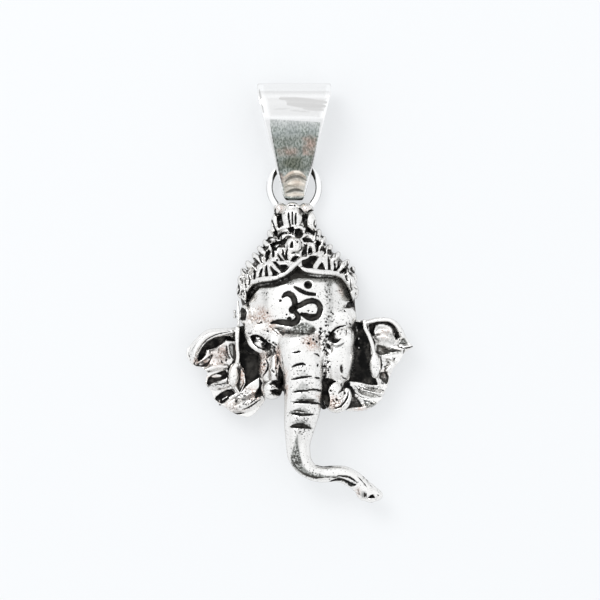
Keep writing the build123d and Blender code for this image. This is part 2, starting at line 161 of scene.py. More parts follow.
def turned(outline, steps=60, weld=1e-4):
    """The front half of a form turned about the leaning upright axis, flat at the back."""
    bm = bmesh.new()
    rows = [(outline[0][0], 0.0), *outline, (outline[-1][0], 0.0)]
    points = [bm.verts.new((radius, height, 0)) for height, radius in rows]
    edges = [bm.edges.new(pair) for pair in zip(points, points[1:])]
    bmesh.ops.spin(bm, geom=points + edges, axis=(0, 1, 0), cent=(0, 0, 0), angle=-math.pi, steps=steps,
                   use_merge=True)
    bmesh.ops.remove_doubles(bm, verts=bm.verts, dist=weld)
    bmesh.ops.holes_fill(bm, edges=bm.edges)
    bmesh.ops.rotate(bm, verts=bm.verts, cent=(0, 0, 0), matrix=Matrix.Rotation(HEAD_LEAN, 3, "Z"))
    bmesh.ops.recalc_face_normals(bm, faces=bm.faces)
    return bm


def dome_lift(outline, x, y):
    """Height of a leaning turned form's front above the table."""
    across = x * math.cos(HEAD_LEAN) + y * math.sin(HEAD_LEAN)
    up = y * math.cos(HEAD_LEAN) - x * math.sin(HEAD_LEAN)
    heights, radii = zip(*outline)
    radius = np.interp(up, heights, radii)
    return np.sqrt(np.maximum(radius * radius - across * across, 0.0))


def cast(parts, name, grain):
    """Lumps and bars run together into one skin."""
    piece = linked(joined(parts), name)
    skin = piece.modifiers.new("skin", "REMESH")
    skin.mode = "VOXEL"
    skin.voxel_size = grain
    solid = bpy.data.meshes.new_from_object(piece.evaluated_get(bpy.context.evaluated_depsgraph_get()))
    piece.modifiers.clear()
    piece.data = solid
    return piece


def line_depth(spots, line, half, ends):
    """How deep inside a stroke each spot lies: 1 on its line, 0 at its edge, less outside."""
    line = curve_through(line)
    lengths = np.r_[0, np.cumsum(np.linalg.norm(np.diff(line, axis=0), axis=1))]
    best = np.full(len(spots), -1.0)
    for i, (a, b) in enumerate(zip(line, line[1:])):
        along = b - a
        t = np.clip(((spots - a) @ along) / (along @ along), 0, 1)
        gap = np.linalg.norm(spots - a - t[:, None] * along, axis=1)
        share = (lengths[i] + t * (lengths[i + 1] - lengths[i])) / lengths[-1]
        width = half * np.interp(share, (0, 0.3, 0.7, 1), (ends[0], 1, 1, ends[1]))
        best = np.maximum(best, 1 - gap / width)
    return best


def patch_depth(spots, corners, half):
    """How deep inside a closed outline each spot lies, in shares of half."""
    corners = np.array(corners, float)
    inside = np.zeros(len(spots), bool)
    gap = np.full(len(spots), np.inf)
    for a, b in zip(corners, np.roll(corners, -1, axis=0)):
        along = b - a
        crosses = (a[1] > spots[:, 1]) != (b[1] > spots[:, 1])
        if along[1]:
            inside ^= crosses & (spots[:, 0] < along[0] * (spots[:, 1] - a[1]) / along[1] + a[0])
        t = np.clip(((spots - a) @ along) / (along @ along), 0, 1)
        gap = np.minimum(gap, np.linalg.norm(spots - a - t[:, None] * along, axis=1))
    return np.where(inside, gap, -gap) / half


class Wax:
    """A piece while it is carved: its points, what joins them, and how strong each mark is at each point.

    The marks say how black a recess stays, which in a few places is painted shade and shadow; how rough the
    casting is; where a coppery tint lies; and where grey tarnish and painted shade lie, which lighten the
    black of the gaps to a painted sheen. On the bail, one mark is the painted reflection that greys its flat
    face, and one the warm painted reflection over its end.
    """

    MARKS = ("black", "pitted", "warm", "face_reflection", "tarnish_and_shade", "end_reflection")

    def __init__(self, piece):
        self.piece = piece
        self.mesh = piece.data
        count = len(self.mesh.vertices)
        spots = np.empty(count * 3, np.float32)
        self.mesh.vertices.foreach_get("co", spots)
        self.spots = spots.reshape(-1, 3).astype(float)
        edges = np.empty(len(self.mesh.edges) * 2, np.int32)
        self.mesh.edges.foreach_get("vertices", edges)
        self.edges = edges.reshape(-1, 2)
        self.joins = np.bincount(edges, minlength=count).astype(float)
        self.marks = {name: np.zeros(count) for name in self.MARKS}
        self.face_again()

    @property
    def plan(self):
        """Where each point lies, seen from above."""
        return self.spots[:, :2]

    def face_again(self):
        """Works out which way each point faces."""
        self.mesh.vertices.foreach_set("co", self.spots.astype(np.float32).ravel())
        self.mesh.update()
        facing = np.empty(len(self.spots) * 3, np.float32)
        self.mesh.vertex_normals.foreach_get("vector", facing)
        self.facing = facing.reshape(-1, 3).astype(float)
        self.front = ease((self.facing[:, 2] - TURNED_AWAY) / (FACING_UP - TURNED_AWAY))

    def spread(self, values):
        """The mean of each point's neighbours."""
        a, b = self.edges.T
        out = np.empty_like(values)
        for i in range(values.shape[1]):
            column = values[:, i]
            total = np.bincount(a, column[b], len(column)) + np.bincount(b, column[a], len(column))
            out[:, i] = total / self.joins
        return out

    def relax(self, rounds, share=0.5):
        """Smooths the skin."""
        for _ in range(rounds):
            self.spots += share * (self.spread(self.spots) - self.spots)
        self.face_again()

    def mark(self, name, share):
        """Marks each point, where it isn't marked more already."""
        self.marks[name] = np.maximum(self.marks[name], share)

    def press(self, deep, depth, wall, black, straight):
        """Presses the front in where deep is over 0, or raises it where depth is negative."""
        push = (ease(deep / wall) * self.front * depth)[:, None]
        way = np.array([0, 0, 1.0]) if straight else self.facing
        self.spots -= way * push
        if black:
            self.mark("black", black * ease(deep / wall * STROKE_MARK) * (self.front > SEEN))

    def stroke(self, line, width, depth, wall=1.0, ends=POINTED, black=0.0):
        """Presses a groove along a line."""
        self.press(line_depth(self.plan, line, width / 2, ends), depth, wall, black, False)

    def patch(self, corners, depth, wall, black=0.0, straight=False):
        """Presses a hollow inside an outline, whose wall begins a little outside it."""
        self.press(patch_depth(self.plan, corners, wall) + PATCH_MARGIN, depth, 1.0, black, straight)

    def tint(self, name, centre, size, share=1.0):
        """Marks a soft round place."""
        gap = np.hypot(*((self.plan - centre) / (np.array(size) / 2)).T)
        self.mark(name, share * ease(TINT_REACH - gap))

    def shade(self, name, line, width, share=1.0):
        """Marks along a line."""
        deep = line_depth(self.plan, line, width / 2, BLUNT)
        self.mark(name, share * ease(deep * SHADE_MARK) * (self.front > SEEN))

    def cover(self, name, corners, share=1.0, soft=0.3):
        """Marks the inside of an outline, soft at its edge."""
        deep = patch_depth(self.plan, corners, soft) + COVER_MARGIN
        self.mark(name, share * ease(deep) * (self.front > SEEN))

    def rub(self, line, width, share):
        """Takes black away along a line."""
        self.marks["black"] *= 1 - share * ease(line_depth(self.plan, line, width / 2, BROAD) * STROKE_MARK)

    def rest_on_table(self):
        """Flattens what would sink into the table."""
        self.spots[:, 2] = np.maximum(self.spots[:, 2], 0)

    def finish(self):
        """Gives the mesh its marks and a smooth skin."""
        self.face_again()
        for name, values in self.marks.items():
            layer = self.mesh.attributes.new(name, "FLOAT", "POINT")
            layer.data.foreach_set("value", np.clip(values, 0, 1).astype(np.float32))
        self.mesh.polygons.foreach_set("use_smooth", [True] * len(self.mesh.polygons))


# Skull from chin to top: height and radius
SKULL = [
    (-9.9, 0.6), (-9.3, 2.5), (-8.0, 4.4), (-6.0, 5.7), (-4.0, 6.5), (-2.0, 7.15), (0.0, 7.45), (2.5, 7.45),
    (5.0, 6.85), (6.0, 6.1), (7.0, 5.2), (8.5, 4.0),
]
# Trunk from its root to its tip: across, up, lift and radius
TRUNK = [
    (-0.1, -1.6, 5.2, 2.7), (-0.1, -3.4, 5.6, 3.05), (0.3, -5.8, 5.95, 2.75), (0.4, -8.0, 6.0, 2.6),
    (0.35, -11.0, 5.65, 2.45), (0.05, -13.0, 5.3, 2.2), (-0.15, -14.6, 4.95, 1.9),
    (-0.25, -16.2, 4.6, 1.62), (-0.1, -17.6, 4.35, 1.56), (0.45, -18.8, 4.2, 1.32), (1.5, -19.7, 4.1, 1.15),
    (2.9, -20.05, 4.0, 1.1), (4.4, -19.95, 3.9, 1.1), (5.8, -20.1, 3.8, 1.18), (7.1, -20.8, 3.6, 1.2),
    (8.2, -21.7, 3.45, 1.15), (9.0, -22.4, 3.35, 1.2), (9.3, -22.75, 3.3, 1.1),
]
# Right tusk from its root to its tip: across, up, lift and radius
TUSK = [
    (3.7, -7.6, 4.4, 0.8), (3.95, -9.4, 4.7, 1.0), (4.3, -10.8, 5.0, 1.0), (5.0, -11.1, 5.2, 0.9),
    (5.8, -10.6, 5.3, 0.8), (6.25, -9.7, 5.2, 0.62), (6.2, -9.0, 5.1, 0.45),
]
# Lumps of the face: centre, size and turn in degrees
FACE_LUMPS = [
    ((-3.9, -5.4, 3.3), (3.4, 6.4, 4.6), -4), ((-4.85, -5.6, 3.2), (1.3, 3.4, 4.4), -2),
    ((-3.0, -5.0, 4.4), (2.2, 6.0, 4.0), 0), ((-3.3, -2.6, 5.0), (2.6, 3.0, 3.2), 0),
    ((5.0, -4.4, 3.3), (4.7, 8.2, 6.0), 2), ((3.7, -5.0, 3.9), (3.0, 7.2, 4.8), 0),
    ((3.1, -4.2, 5.0), (1.8, 6.0, 4.0), 0), ((3.45, -6.2, 4.7), (1.9, 4.4, 4.0), 0),
    ((-3.25, -6.3, 4.7), (1.9, 4.2, 3.8), 0), ((-5.35, -3.3, 4.2), (3.0, 2.2, 3.2), -25),
    ((-5.0, -1.0, 3.9), (5.0, 3.6, 4.1), 18), ((5.0, 0.2, 4.0), (5.2, 3.8, 4.2), 24),
    ((-6.1, -2.9, 3.7), (2.4, 2.8, 3.4), -40), ((6.1, -2.6, 3.6), (2.4, 3.8, 4.2), -14),
    ((0.2, -2.6, 6.2), (4.8, 3.0, 4.2), 0), ((-3.7, -8.8, 4.1), (2.9, 2.9, 3.8), 0),
    ((-7.05, 0.9, 3.2), (1.9, 3.0, 3.2), 0), ((9.35, -22.6, 3.3), (3.3, 2.0, 2.1), -14),
    ((8.15, -22.6, 3.2), (1.5, 2.1, 1.8), 24), ((4.6, -9.0, 4.2), (2.4, 3.2, 3.2), 0),
    ((4.7, -10.3, 4.4), (3.0, 3.0, 2.6), 0), ((3.15, -9.8, 2.7), (1.5, 3.7, 2.8), 0),
]
# The root of the nose, the eyes' hollows and the furrows beside the trunk: width, depth, wall
FACE_FURROWS = [
    (1.9, 0.45, 1.0, [(-3.3, -0.9), (-1.5, -1.25), (0.5, -1.0), (1.9, -1.1)]),
    (1.5, 0.5, 1.0, [(-4.9, -2.9), (-3.9, -3.5), (-4.2, -4.4)]),
    (1.3, 0.5, 1.0, [(3.6, -1.9), (3.8, -3.2), (3.4, -5.0), (3.3, -7.2)]),
    (0.9, 0.4, 1.0, [(-3.5, -3.6), (-3.0, -5.2), (-2.7, -7.6)]),
    (1.3, 0.25, 0.8, [(-6.3, -2.1), (-5.5, -2.35), (-4.6, -3.0)]),
    (1.5, 0.3, 0.8, [(4.1, -2.1), (4.8, -1.7), (5.6, -1.1)]),
]
# Balls of the eyes: width, height
EYEBALLS = [
    (1.35, 0.5, [(-5.4, -2.65), (-5.25, -2.8)]), (1.25, 0.4, [(5.0, -1.6), (5.4, -1.3)]),
]
# Shade and crease over the root of the trunk
NOSE_SHADE = [(-3.2, -0.95), (-1.2, -0.9), (-0.6, -1.6), (-2.6, -1.55)]
NOSE_CREASE = [(-2.7, -1.45), (-1.4, -1.35), (0.2, -1.4), (1.9, -1.45)]
# Left ends of the shallow grooves between the trunk's rings, then where their middle is, how far it rises
# and what the two ends' x add up to
TRUNK_GROOVES = [
    (-1.0, -3.7), (-1.1, -5.4), (-0.9, -7.0), (-0.9, -8.6), (-0.9, -10.0), (-1.4, -11.5), (-1.4, -13.4),
]
GROOVE_MIDDLE = 0.4
GROOVE_RISE = 0.2
GROOVE_ENDS = 0.6
# Engraved sign: width, how wide each end stays. Its dots have two points only
SIGN = [
    (0.82, (0.4, 0.9), [(-2.3, 3.3), (-2.0, 3.65), (-1.5, 3.75), (-1.05, 3.5), (-0.8, 3.1), (-0.68, 2.6),
                        (-0.7, 2.1), (-0.9, 1.7)]),
    (0.9, (0.75, 0.35), [(-0.5, 1.15), (-0.22, 0.75), (-0.45, 0.15), (-1.2, -0.22), (-2.0, -0.1),
                         (-3.0, 0.02), (-3.85, -0.15)]),
    (0.76, (1.0, 0.6), [(-0.6, 2.0), (0.1, 2.25), (0.8, 2.65), (1.6, 2.82), (2.3, 2.6), (2.68, 2.0),
                        (2.62, 1.3), (2.3, 0.75), (1.7, 0.46), (1.1, 0.5), (0.6, 0.8), (0.25, 1.05)]),
    (0.4, (0.6, 0.5), [(0.2, 1.1), (0.9, 0.95), (1.6, 0.85), (2.2, 1.0)]),
    (0.5, (0.5, 0.8), [(-0.75, 4.65), (-0.3, 4.4), (0.1, 4.15), (0.6, 3.92), (1.2, 3.75), (1.95, 3.65)]),
    (1.14, (1.0, 1.0), [(1.07, 4.93), (1.09, 4.93)]), (0.85, (1.0, 1.0), [(1.07, 4.93), (1.09, 4.93)]),
    (1.1, (1.0, 1.0), [(-0.98, 1.6), (-0.9, 1.62)]), (0.34, (0.5, 0.5), [(-2.75, 2.85), (-2.5, 2.85)]),
    (0.6, (0.5, 0.5), [(-1.6, 0.45), (-1.25, 0.4)]),
]
# Black grooves under the headband's strands
BAND_GROOVES = [
    [(-7.0, 2.7), (-6.95, 3.2), (-6.8, 4.0), (-6.3, 4.7), (-5.5, 5.1), (-4.5, 5.3), (-3.9, 5.4),
     (-3.0, 5.6), (-2.2, 5.9), (-1.7, 6.3), (-1.0, 6.8), (-0.4, 7.4), (0.0, 7.3), (0.3, 6.9), (1.0, 6.6),
     (1.6, 6.4), (2.5, 6.3), (3.0, 6.2), (4.0, 6.1), (4.8, 5.95), (4.4, 5.85), (3.4, 5.85), (2.6, 5.8),
     (1.6, 5.85), (0.6, 5.9), (-0.2, 5.85), (-0.8, 5.7), (-1.5, 5.4), (-2.1, 5.05), (-3.0, 4.8),
     (-3.5, 4.65), (-4.2, 4.6), (-5.1, 4.6), (-5.5, 4.35), (-5.95, 3.9), (-6.4, 3.3), (-6.7, 3.0),
     (-6.8, 2.7)],
]
# Grey tarnish and painted shade on the face: share, then the outline's points
FACE_TARNISH_AND_SHADE = [
    (0.95, [(-3.5, -0.75), (-2.6, -1.05), (-1.2, -0.95), (-0.6, -0.4), (0.0, -0.05), (0.9, -0.1),
            (1.8, -0.5), (2.15, -1.0), (1.85, -1.5), (0.5, -1.75), (-1.0, -1.65), (-2.6, -1.55)]),
    (0.7, [(4.5, 5.9), (5.3, 5.6), (5.9, 5.0), (6.4, 4.2), (6.45, 3.3), (6.1, 3.4), (5.7, 4.1), (5.1, 4.7),
           (4.5, 5.1)]),
    (0.6, [(-2.0, 5.2), (-0.8, 5.75), (0.6, 5.9), (1.5, 5.8), (2.9, 5.8), (4.4, 5.8), (4.3, 5.0),
           (3.9, 4.2), (3.4, 4.3), (3.3, 5.2), (2.0, 5.5), (0.5, 5.6), (-0.7, 5.2), (-1.6, 4.7)]),
    (0.35, [(3.3, 4.6), (4.3, 4.7), (4.4, 2.0), (4.2, -0.4), (3.5, -0.4), (3.5, 2.0)]),
    (0.25, [(-5.0, 4.4), (-4.3, 4.5), (-4.1, 1.4), (-4.8, 1.0)]),
    (0.6, [(-5.2, -4.2), (-4.2, -4.0), (-4.2, -5.0), (-5.0, -5.2)]),
    (0.5, [(8.0, -22.3), (8.7, -22.3), (8.8, -23.2), (8.1, -23.2)]),
    (0.5, [(5.2, -5.5), (5.6, -5.5), (5.7, -6.8), (5.3, -6.6)]),
    (1.0, [(-0.55, -15.2), (-0.15, -16.4), (0.05, -17.6), (0.35, -18.8), (1.0, -19.6), (2.0, -20.05),
           (2.9, -20.25), (1.3, -20.45), (0.0, -19.9), (-0.95, -18.9), (-1.25, -18.0), (-1.05, -17.0),
           (-0.75, -16.0)]),
    (0.3, [(2.6, -11.4), (3.4, -11.2), (2.6, -16.0), (1.9, -15.0)]),
    # Painted shade over the trunk's creases
    (0.35, [(-0.7, -7.3), (0.2, -6.6), (0.5, -6.3), (1.0, -6.8), (1.4, -7.1)]),
    (0.5, [(-1.0, -9.1), (-0.3, -8.5), (0.3, -7.8), (0.9, -8.2), (1.4, -8.8)]),
    (0.5, [(-1.0, -10.5), (0.0, -9.8), (0.5, -9.4), (1.2, -9.8), (2.6, -10.4)]),
    (0.7, [(-1.4, -12.0), (-0.8, -11.5), (0.2, -11.1), (0.9, -11.5), (1.5, -12.0)]),
    (0.7, [(-1.4, -13.8), (-0.5, -13.1), (0.3, -12.8), (1.0, -13.3), (1.7, -14.0)]),
]
# Painted shade along lines: width, share
FACE_SHADE_LINES = [
    (0.4, 0.9, [(-0.35, -14.9), (-0.4, -15.6), (-0.42, -16.4)]),
    (1.0, 0.9, [(0.9, -19.9), (2.0, -20.2), (3.2, -20.35)]),
    (0.5, 0.6, [(3.0, -20.35), (4.6, -20.4), (5.4, -20.5)]), (0.9, 0.5, [(3.4, 5.0), (3.8, 4.2)]),
    (0.6, 0.5, [(-1.0, -13.2), (0.0, -13.0), (1.2, -13.4)]),
    (0.5, 0.6, [(4.2, -3.0), (4.8, -3.2), (5.4, -3.0), (5.8, -2.7)]),
]
# Black folds of the face
FACE_HOLLOWS = [
    # Left eye: under the lid, then the corner and the lower lid
    [(-6.6, -2.0), (-6.3, -1.82), (-6.0, -1.9), (-5.8, -2.15), (-6.05, -2.75), (-6.3, -2.35)],
    [(-4.72, -2.65), (-4.3, -2.85), (-3.95, -3.08), (-3.8, -3.4), (-3.95, -3.8), (-4.35, -3.72),
     (-4.8, -3.68), (-5.0, -3.52), (-4.7, -3.3), (-4.58, -3.0)],
    # The dark gap's corner under the left eye
    [(-7.6, -1.6), (-7.3, -1.8), (-7.12, -2.4), (-6.85, -3.0), (-6.45, -3.45), (-5.95, -3.85),
     (-5.45, -4.1), (-5.4, -4.8), (-5.45, -6.2), (-5.8, -7.0), (-7.6, -6.8)],
    # Crease above the trunk's bend
    [(-1.5, -13.82), (-1.0, -13.5), (-0.3, -13.3), (0.4, -13.3), (1.2, -13.75), (1.65, -14.1), (0.6, -14.0),
     (-0.4, -13.95)],
    # Nostril
    [(8.9, -23.25), (9.25, -22.85), (9.65, -22.7), (9.9, -23.2)],
    # Right eye's corner
    [(3.65, -2.42), (3.9, -1.85), (4.4, -1.35), (4.62, -1.5), (4.42, -1.8), (4.6, -2.1), (5.1, -2.17),
     (5.42, -2.08), (5.1, -2.45), (4.7, -2.7), (4.3, -2.7), (3.9, -2.5)],
    # Between trunk and left cheek, then over the left stub, and in its end
    [(-2.8, -5.6), (-2.62, -5.9), (-2.42, -6.5), (-2.2, -7.2), (-2.12, -7.8), (-2.12, -9.0), (-2.25, -9.9),
     (-2.5, -9.8), (-2.6, -8.9), (-3.2, -8.25), (-4.1, -8.0), (-3.5, -7.75), (-2.8, -7.6), (-2.78, -6.6)],
    [(-4.0, -9.05), (-3.2, -8.8), (-2.7, -8.9), (-2.5, -9.7), (-3.1, -9.65), (-3.6, -9.4)],
    # Between trunk and right tusk
    [(3.05, -7.45), (3.4, -7.4), (4.0, -7.5), (4.8, -7.8), (4.3, -7.95), (3.9, -8.3), (3.65, -9.0),
     (3.8, -9.6), (3.9, -10.3), (3.7, -11.1), (3.3, -11.5), (2.7, -11.6), (2.75, -10.4), (2.95, -9.4)],
    # Right temple
    [(6.0, 1.95), (6.3, 2.5), (6.7, 2.75), (7.1, 2.9), (7.5, 2.3), (7.7, 1.5), (7.78, 0.9), (7.55, 1.1),
     (7.3, 1.9), (6.9, 2.0), (6.5, 1.9)],
    # Left temple
    [(-7.9, 1.8), (-7.6, 1.95), (-7.2, 1.7), (-7.0, 1.3), (-7.1, 0.7), (-7.2, 0.2), (-7.7, 0.1),
     (-7.9, 0.3)],
]
# Black lines of the face: width, depth, how black
FACE_LINES = [
    (0.34, 0.3, 1.0, [(-6.6, -2.0), (-6.2, -1.82), (-5.6, -1.88), (-5.2, -2.02), (-4.85, -2.4),
                      (-4.4, -2.68), (-3.9, -3.0)]),
    (0.22, 0.2, 0.9, [(-6.15, -2.7), (-5.9, -3.05), (-5.5, -3.35), (-5.1, -3.5), (-4.8, -3.4)]),
    (0.3, 0.1, 0.5, [(-5.05, -2.85), (-4.9, -2.9)]), (0.5, 0.1, 0.5, [(-6.9, -1.5), (-6.4, -1.45)]),
    (0.34, 0.3, 1.0, [(3.75, -2.2), (3.95, -1.75), (4.3, -1.3), (4.7, -0.9), (5.2, -0.68), (6.05, -0.48)]),
    # Painted shadow under the right eye's lower lid
    (0.4, 0.12, 0.42, [(4.1, -2.95), (4.7, -3.2), (5.3, -3.05), (5.7, -2.8)]),
    (0.14, 0.1, 0.5, [(6.15, -0.9), (6.05, -1.7)]), (0.14, 0.08, 0.4, [(6.9, -0.9), (6.92, -2.2)]),
    (0.2, 0.1, 0.6, [(6.1, 0.1), (6.2, -0.35)]), (0.28, 0.1, 0.5, [(6.45, -0.1), (6.8, -0.5)]),
    (0.15, 0.15, 0.7, [(-4.0, -0.6), (-3.6, -0.95), (-3.2, -1.25), (-2.75, -1.7)]),
    (0.2, 0.15, 0.8, [(2.4, -1.95), (2.75, -1.6), (3.1, -1.2)]),
    # Creases of the trunk
    (0.26, 0.28, 1.0, [(-1.05, -4.05), (-0.5, -3.97), (-0.2, -3.85), (0.12, -3.87)]),
    (0.22, 0.2, 0.9, [(1.85, -4.1), (2.3, -4.2), (2.65, -4.55)]),
    (0.36, 0.3, 1.0, [(-1.15, -5.92), (-0.6, -5.65), (0.0, -5.5), (0.4, -5.45), (0.8, -5.6)]),
    (0.3, 0.28, 1.0, [(-1.2, -7.5), (-0.3, -7.35), (0.5, -7.2), (1.6, -7.08)]),
    (0.3, 0.25, 1.0, [(1.95, -7.22), (2.7, -7.42)]),
    (0.3, 0.28, 1.0, [(-1.05, -9.22), (-0.4, -9.07), (0.5, -9.02), (1.3, -8.97)]),
    (0.3, 0.28, 1.0, [(1.1, -8.87), (2.0, -8.85), (2.95, -9.05)]),
    (0.42, 0.3, 1.0, [(-0.95, -10.52), (0.0, -10.5), (1.0, -10.48), (2.0, -10.62), (2.8, -10.75)]),
    # Painted shade on the slope above this crease
    (0.26, 0.12, 0.6, [(-0.8, -10.2), (0.5, -10.15), (2.2, -10.2)]),
    (0.42, 0.3, 1.0, [(-1.45, -11.93), (-0.8, -12.0), (0.0, -12.15), (0.8, -12.15), (1.8, -12.15)]),
    # Painted shade on the slope above this crease
    (0.3, 0.12, 0.6, [(-1.3, -11.7), (-0.3, -11.6), (0.7, -11.8)]),
    (0.22, 0.15, 1.0, [(-1.65, -12.3), (-1.6, -12.3)]),
    # Left cheek's flap, right cheek's slot and edge, the right tusk's rim
    (0.24, 0.25, 0.9, [(-4.55, -4.9), (-4.25, -5.4), (-4.3, -6.2), (-4.6, -6.7), (-5.0, -7.1)]),
    (0.42, 0.25, 1.0, [(5.42, -5.7), (5.45, -6.2), (5.55, -6.7)]),
    (0.16, 0.12, 0.6, [(5.4, -7.0), (5.7, -7.4), (6.2, -7.6)]),
    (0.34, 0.4, 1.0, [(5.1, -9.35), (5.5, -9.0), (5.9, -8.4), (6.3, -7.85), (7.0, -7.6)]),
    (0.3, 0.3, 0.9, [(6.35, -9.1), (6.3, -9.7), (6.0, -10.3), (5.6, -10.8), (5.1, -11.25), (4.6, -11.4)]),
    (0.12, 0.1, 0.5, [(2.95, -4.6), (3.0, -6.0), (3.0, -7.4)]),
    (0.12, 0.1, 0.5, [(-2.5, -4.2), (-2.3, -5.4), (-2.3, -6.4)]),
    # Marks of the trunk's low part and its tip
    (0.3, 0.1, 0.5, [(-0.95, -18.2), (-0.7, -18.9), (-0.2, -19.5)]),
    (0.36, 0.15, 0.8, [(-0.2, -19.45), (0.6, -20.02), (1.5, -20.35), (2.4, -20.5), (3.1, -20.45)]),
    (0.3, 0.12, 0.5, [(3.2, -20.4), (4.4, -20.45), (5.2, -20.5)]),
    (0.42, 0.25, 1.0, [(4.0, -21.0), (4.6, -20.8), (5.5, -20.75), (6.2, -21.05), (7.2, -21.5)]),
    (0.6, 0.2, 0.7, [(6.2, -21.2), (6.8, -21.5), (7.3, -21.4)]),
    (0.34, 0.2, 0.8, [(4.9, -20.25), (5.6, -20.28), (6.4, -20.4), (7.0, -20.7), (7.45, -21.05)]),
    (0.12, 0.08, 0.6, [(2.0, -18.8), (2.9, -18.98), (4.6, -18.95)]),
    (0.16, 0.12, 0.5, [(7.6, -20.3), (8.2, -20.9), (8.9, -21.8)]),
    (0.14, 0.12, 0.45, [(8.3, -20.3), (8.9, -20.9), (9.6, -21.8)]),
    (0.5, 0.2, 0.55, [(8.5, -22.5), (8.45, -23.1)]), (0.2, 0.1, 0.7, [(8.7, -22.6), (8.7, -23.1)]),
    (0.3, 0.1, 0.45, [(7.6, -22.0), (7.7, -22.6), (8.0, -23.0)]),
    (0.3, 0.1, 0.4, [(10.2, -22.8), (10.5, -22.9)]),
]
# Pits: across, up and width, and how far each is drawn out
FACE_PITS = [
    (-4.1, -2.43, 0.22), (-3.2, -2.95, 0.24), (-3.4, -3.3, 0.26), (-3.85, -3.9, 0.24), (-3.55, -2.7, 0.24),
    (-4.3, -1.2, 0.2), (-5.15, 0.0, 0.22), (-4.35, 1.25, 0.2), (-1.8, 1.0, 0.2), (2.7, -0.85, 0.3),
    (2.6, -1.3, 0.28), (2.6, -2.12, 0.26), (1.75, -2.25, 0.26), (2.18, -2.55, 0.26), (1.15, -2.75, 0.3),
    (3.58, -1.9, 0.26), (3.85, -1.35, 0.3), (3.3, -1.2, 0.2), (3.35, -2.5, 0.2), (3.1, -2.85, 0.22),
    (3.2, -3.3, 0.2), (3.15, -3.6, 0.26), (3.4, -3.75, 0.26), (3.6, -4.0, 0.24), (3.5, -4.25, 0.22),
    (3.75, 0.75, 0.2), (4.1, 1.3, 0.16), (4.35, 1.1, 0.16), (5.85, 1.5, 0.2), (3.4, 0.05, 0.2),
    (3.4, -0.45, 0.2), (3.65, -5.2, 0.22), (3.9, -5.85, 0.24), (3.2, -5.8, 0.3), (3.7, -6.3, 0.22),
    (3.2, -6.7, 0.24), (3.15, -7.2, 0.3), (3.95, -9.0, 0.24), (4.8, -10.15, 0.24), (5.8, -9.3, 0.24),
    (-3.5, -6.5, 0.26), (-3.15, -6.05, 0.18), (-3.1, -7.0, 0.2), (-3.75, -6.3, 0.14), (-3.9, -8.15, 0.22),
    (-4.75, -5.55, 0.22), (2.3, -5.7, 0.16), (2.35, -5.6, 0.14), (-3.6, -9.45, 0.26), (-3.0, -9.2, 0.3),
    (1.7, -0.9, 0.3), (0.3, -1.4, 0.3), (1.1, -1.55, 0.24), (-1.5, -1.35, 0.3), (-2.3, -1.5, 0.26),
    (-0.9, -1.3, 0.26), (1.1, 1.5, 0.16), (1.6, 1.4, 0.12), (4.65, 6.05, 0.24),
]
PIT_SLANT = (0.05, -0.04)
# Coppery places of the face: centre, size
FACE_WARM = [
    ((-5.4, 0.4), (3.6, 3.6)), ((-2.9, -4.8), (1.0, 3.6)), ((-4.9, -5.6), (1.0, 2.8)),
    ((1.6, -2.6), (3.0, 2.4)), ((2.4, -9.5), (0.8, 1.0)), ((4.4, -10.6), (2.4, 2.0)),
    ((5.7, 4.6), (1.8, 2.2)), ((-1.8, -8.0), (0.7, 4.0)), ((-4.7, -4.6), (1.4, 1.4)),
    ((-2.0, -1.4), (2.0, 1.0)), ((-4.2, -0.4), (2.4, 2.0)),
]
# Rough places of the face: centre, size, share
FACE_PITTED = [
    ((3.3, -2.4), (2.4, 3.6), 0.9), ((-3.9, -4.3), (2.2, 2.0), 1.0), ((3.5, -6.0), (1.3, 3.6), 1.0),
    ((4.9, -10.6), (2.8, 2.4), 1.0), ((4.3, -9.0), (1.2, 1.6), 0.8), ((-3.3, -9.0), (1.8, 1.8), 1.0),
    ((-5.2, 0.2), (3.6, 3.4), 0.55), ((3.7, 3.6), (1.4, 4.6), 0.6), ((0.2, -1.2), (5.0, 1.4), 0.9),
    ((0.3, -6.4), (3.4, 2.6), 0.45), ((0.4, -12.9), (2.8, 1.4), 0.8), ((2.6, 1.4), (1.2, 3.0), 0.5),
    ((-4.6, -1.6), (2.6, 1.2), 0.6), ((1.0, -2.4), (4.0, 1.4), 0.6), ((-1.3, 0.4), (2.0, 1.2), 0.8),
    ((-4.8, -5.4), (1.1, 3.0), 0.7), ((-1.4, 5.2), (1.6, 1.4), 0.9), ((3.8, 0.2), (1.6, 2.4), 0.7),
    ((5.4, 1.8), (1.6, 1.0), 0.6), ((-0.4, -18.2), (1.6, 3.2), 1.0), ((1.6, -20.1), (3.0, 1.2), 0.9),
    ((6.6, -21.0), (2.2, 1.0), 0.8), ((0.2, -14.4), (3.0, 1.0), 0.8), ((5.6, 4.6), (1.6, 2.2), 0.9),
    ((3.6, 5.3), (1.6, 1.0), 0.9), ((-4.8, 3.8), (1.6, 1.0), 0.8), ((1.2, -7.9), (2.0, 1.2), 0.4),
    ((1.2, -11.2), (2.4, 1.0), 0.6), ((-0.1, -5.7), (2.2, 0.7), 0.7), ((0.6, -7.2), (3.6, 0.6), 0.7),
    ((0.6, -9.0), (4.0, 0.7), 0.8), ((0.8, -10.5), (4.0, 0.8), 0.9), ((0.1, -12.0), (3.2, 1.0), 1.0),
    ((0.1, -13.8), (3.4, 1.0), 0.9),
]


def shape_head():
    parts = [turned(SKULL), bar(TRUNK)]
    parts += [egg(centre, size, turn) for centre, size, turn in FACE_LUMPS]
    parts.append(bar(TUSK, 0.2))
    wax = Wax(cast(parts, "head_casting", HEAD_GRAIN))
    wax.relax(12)
    shape_features(wax)
    engrave_face(wax)
    colour_face(wax)
    wax.rest_on_table()
    return wax


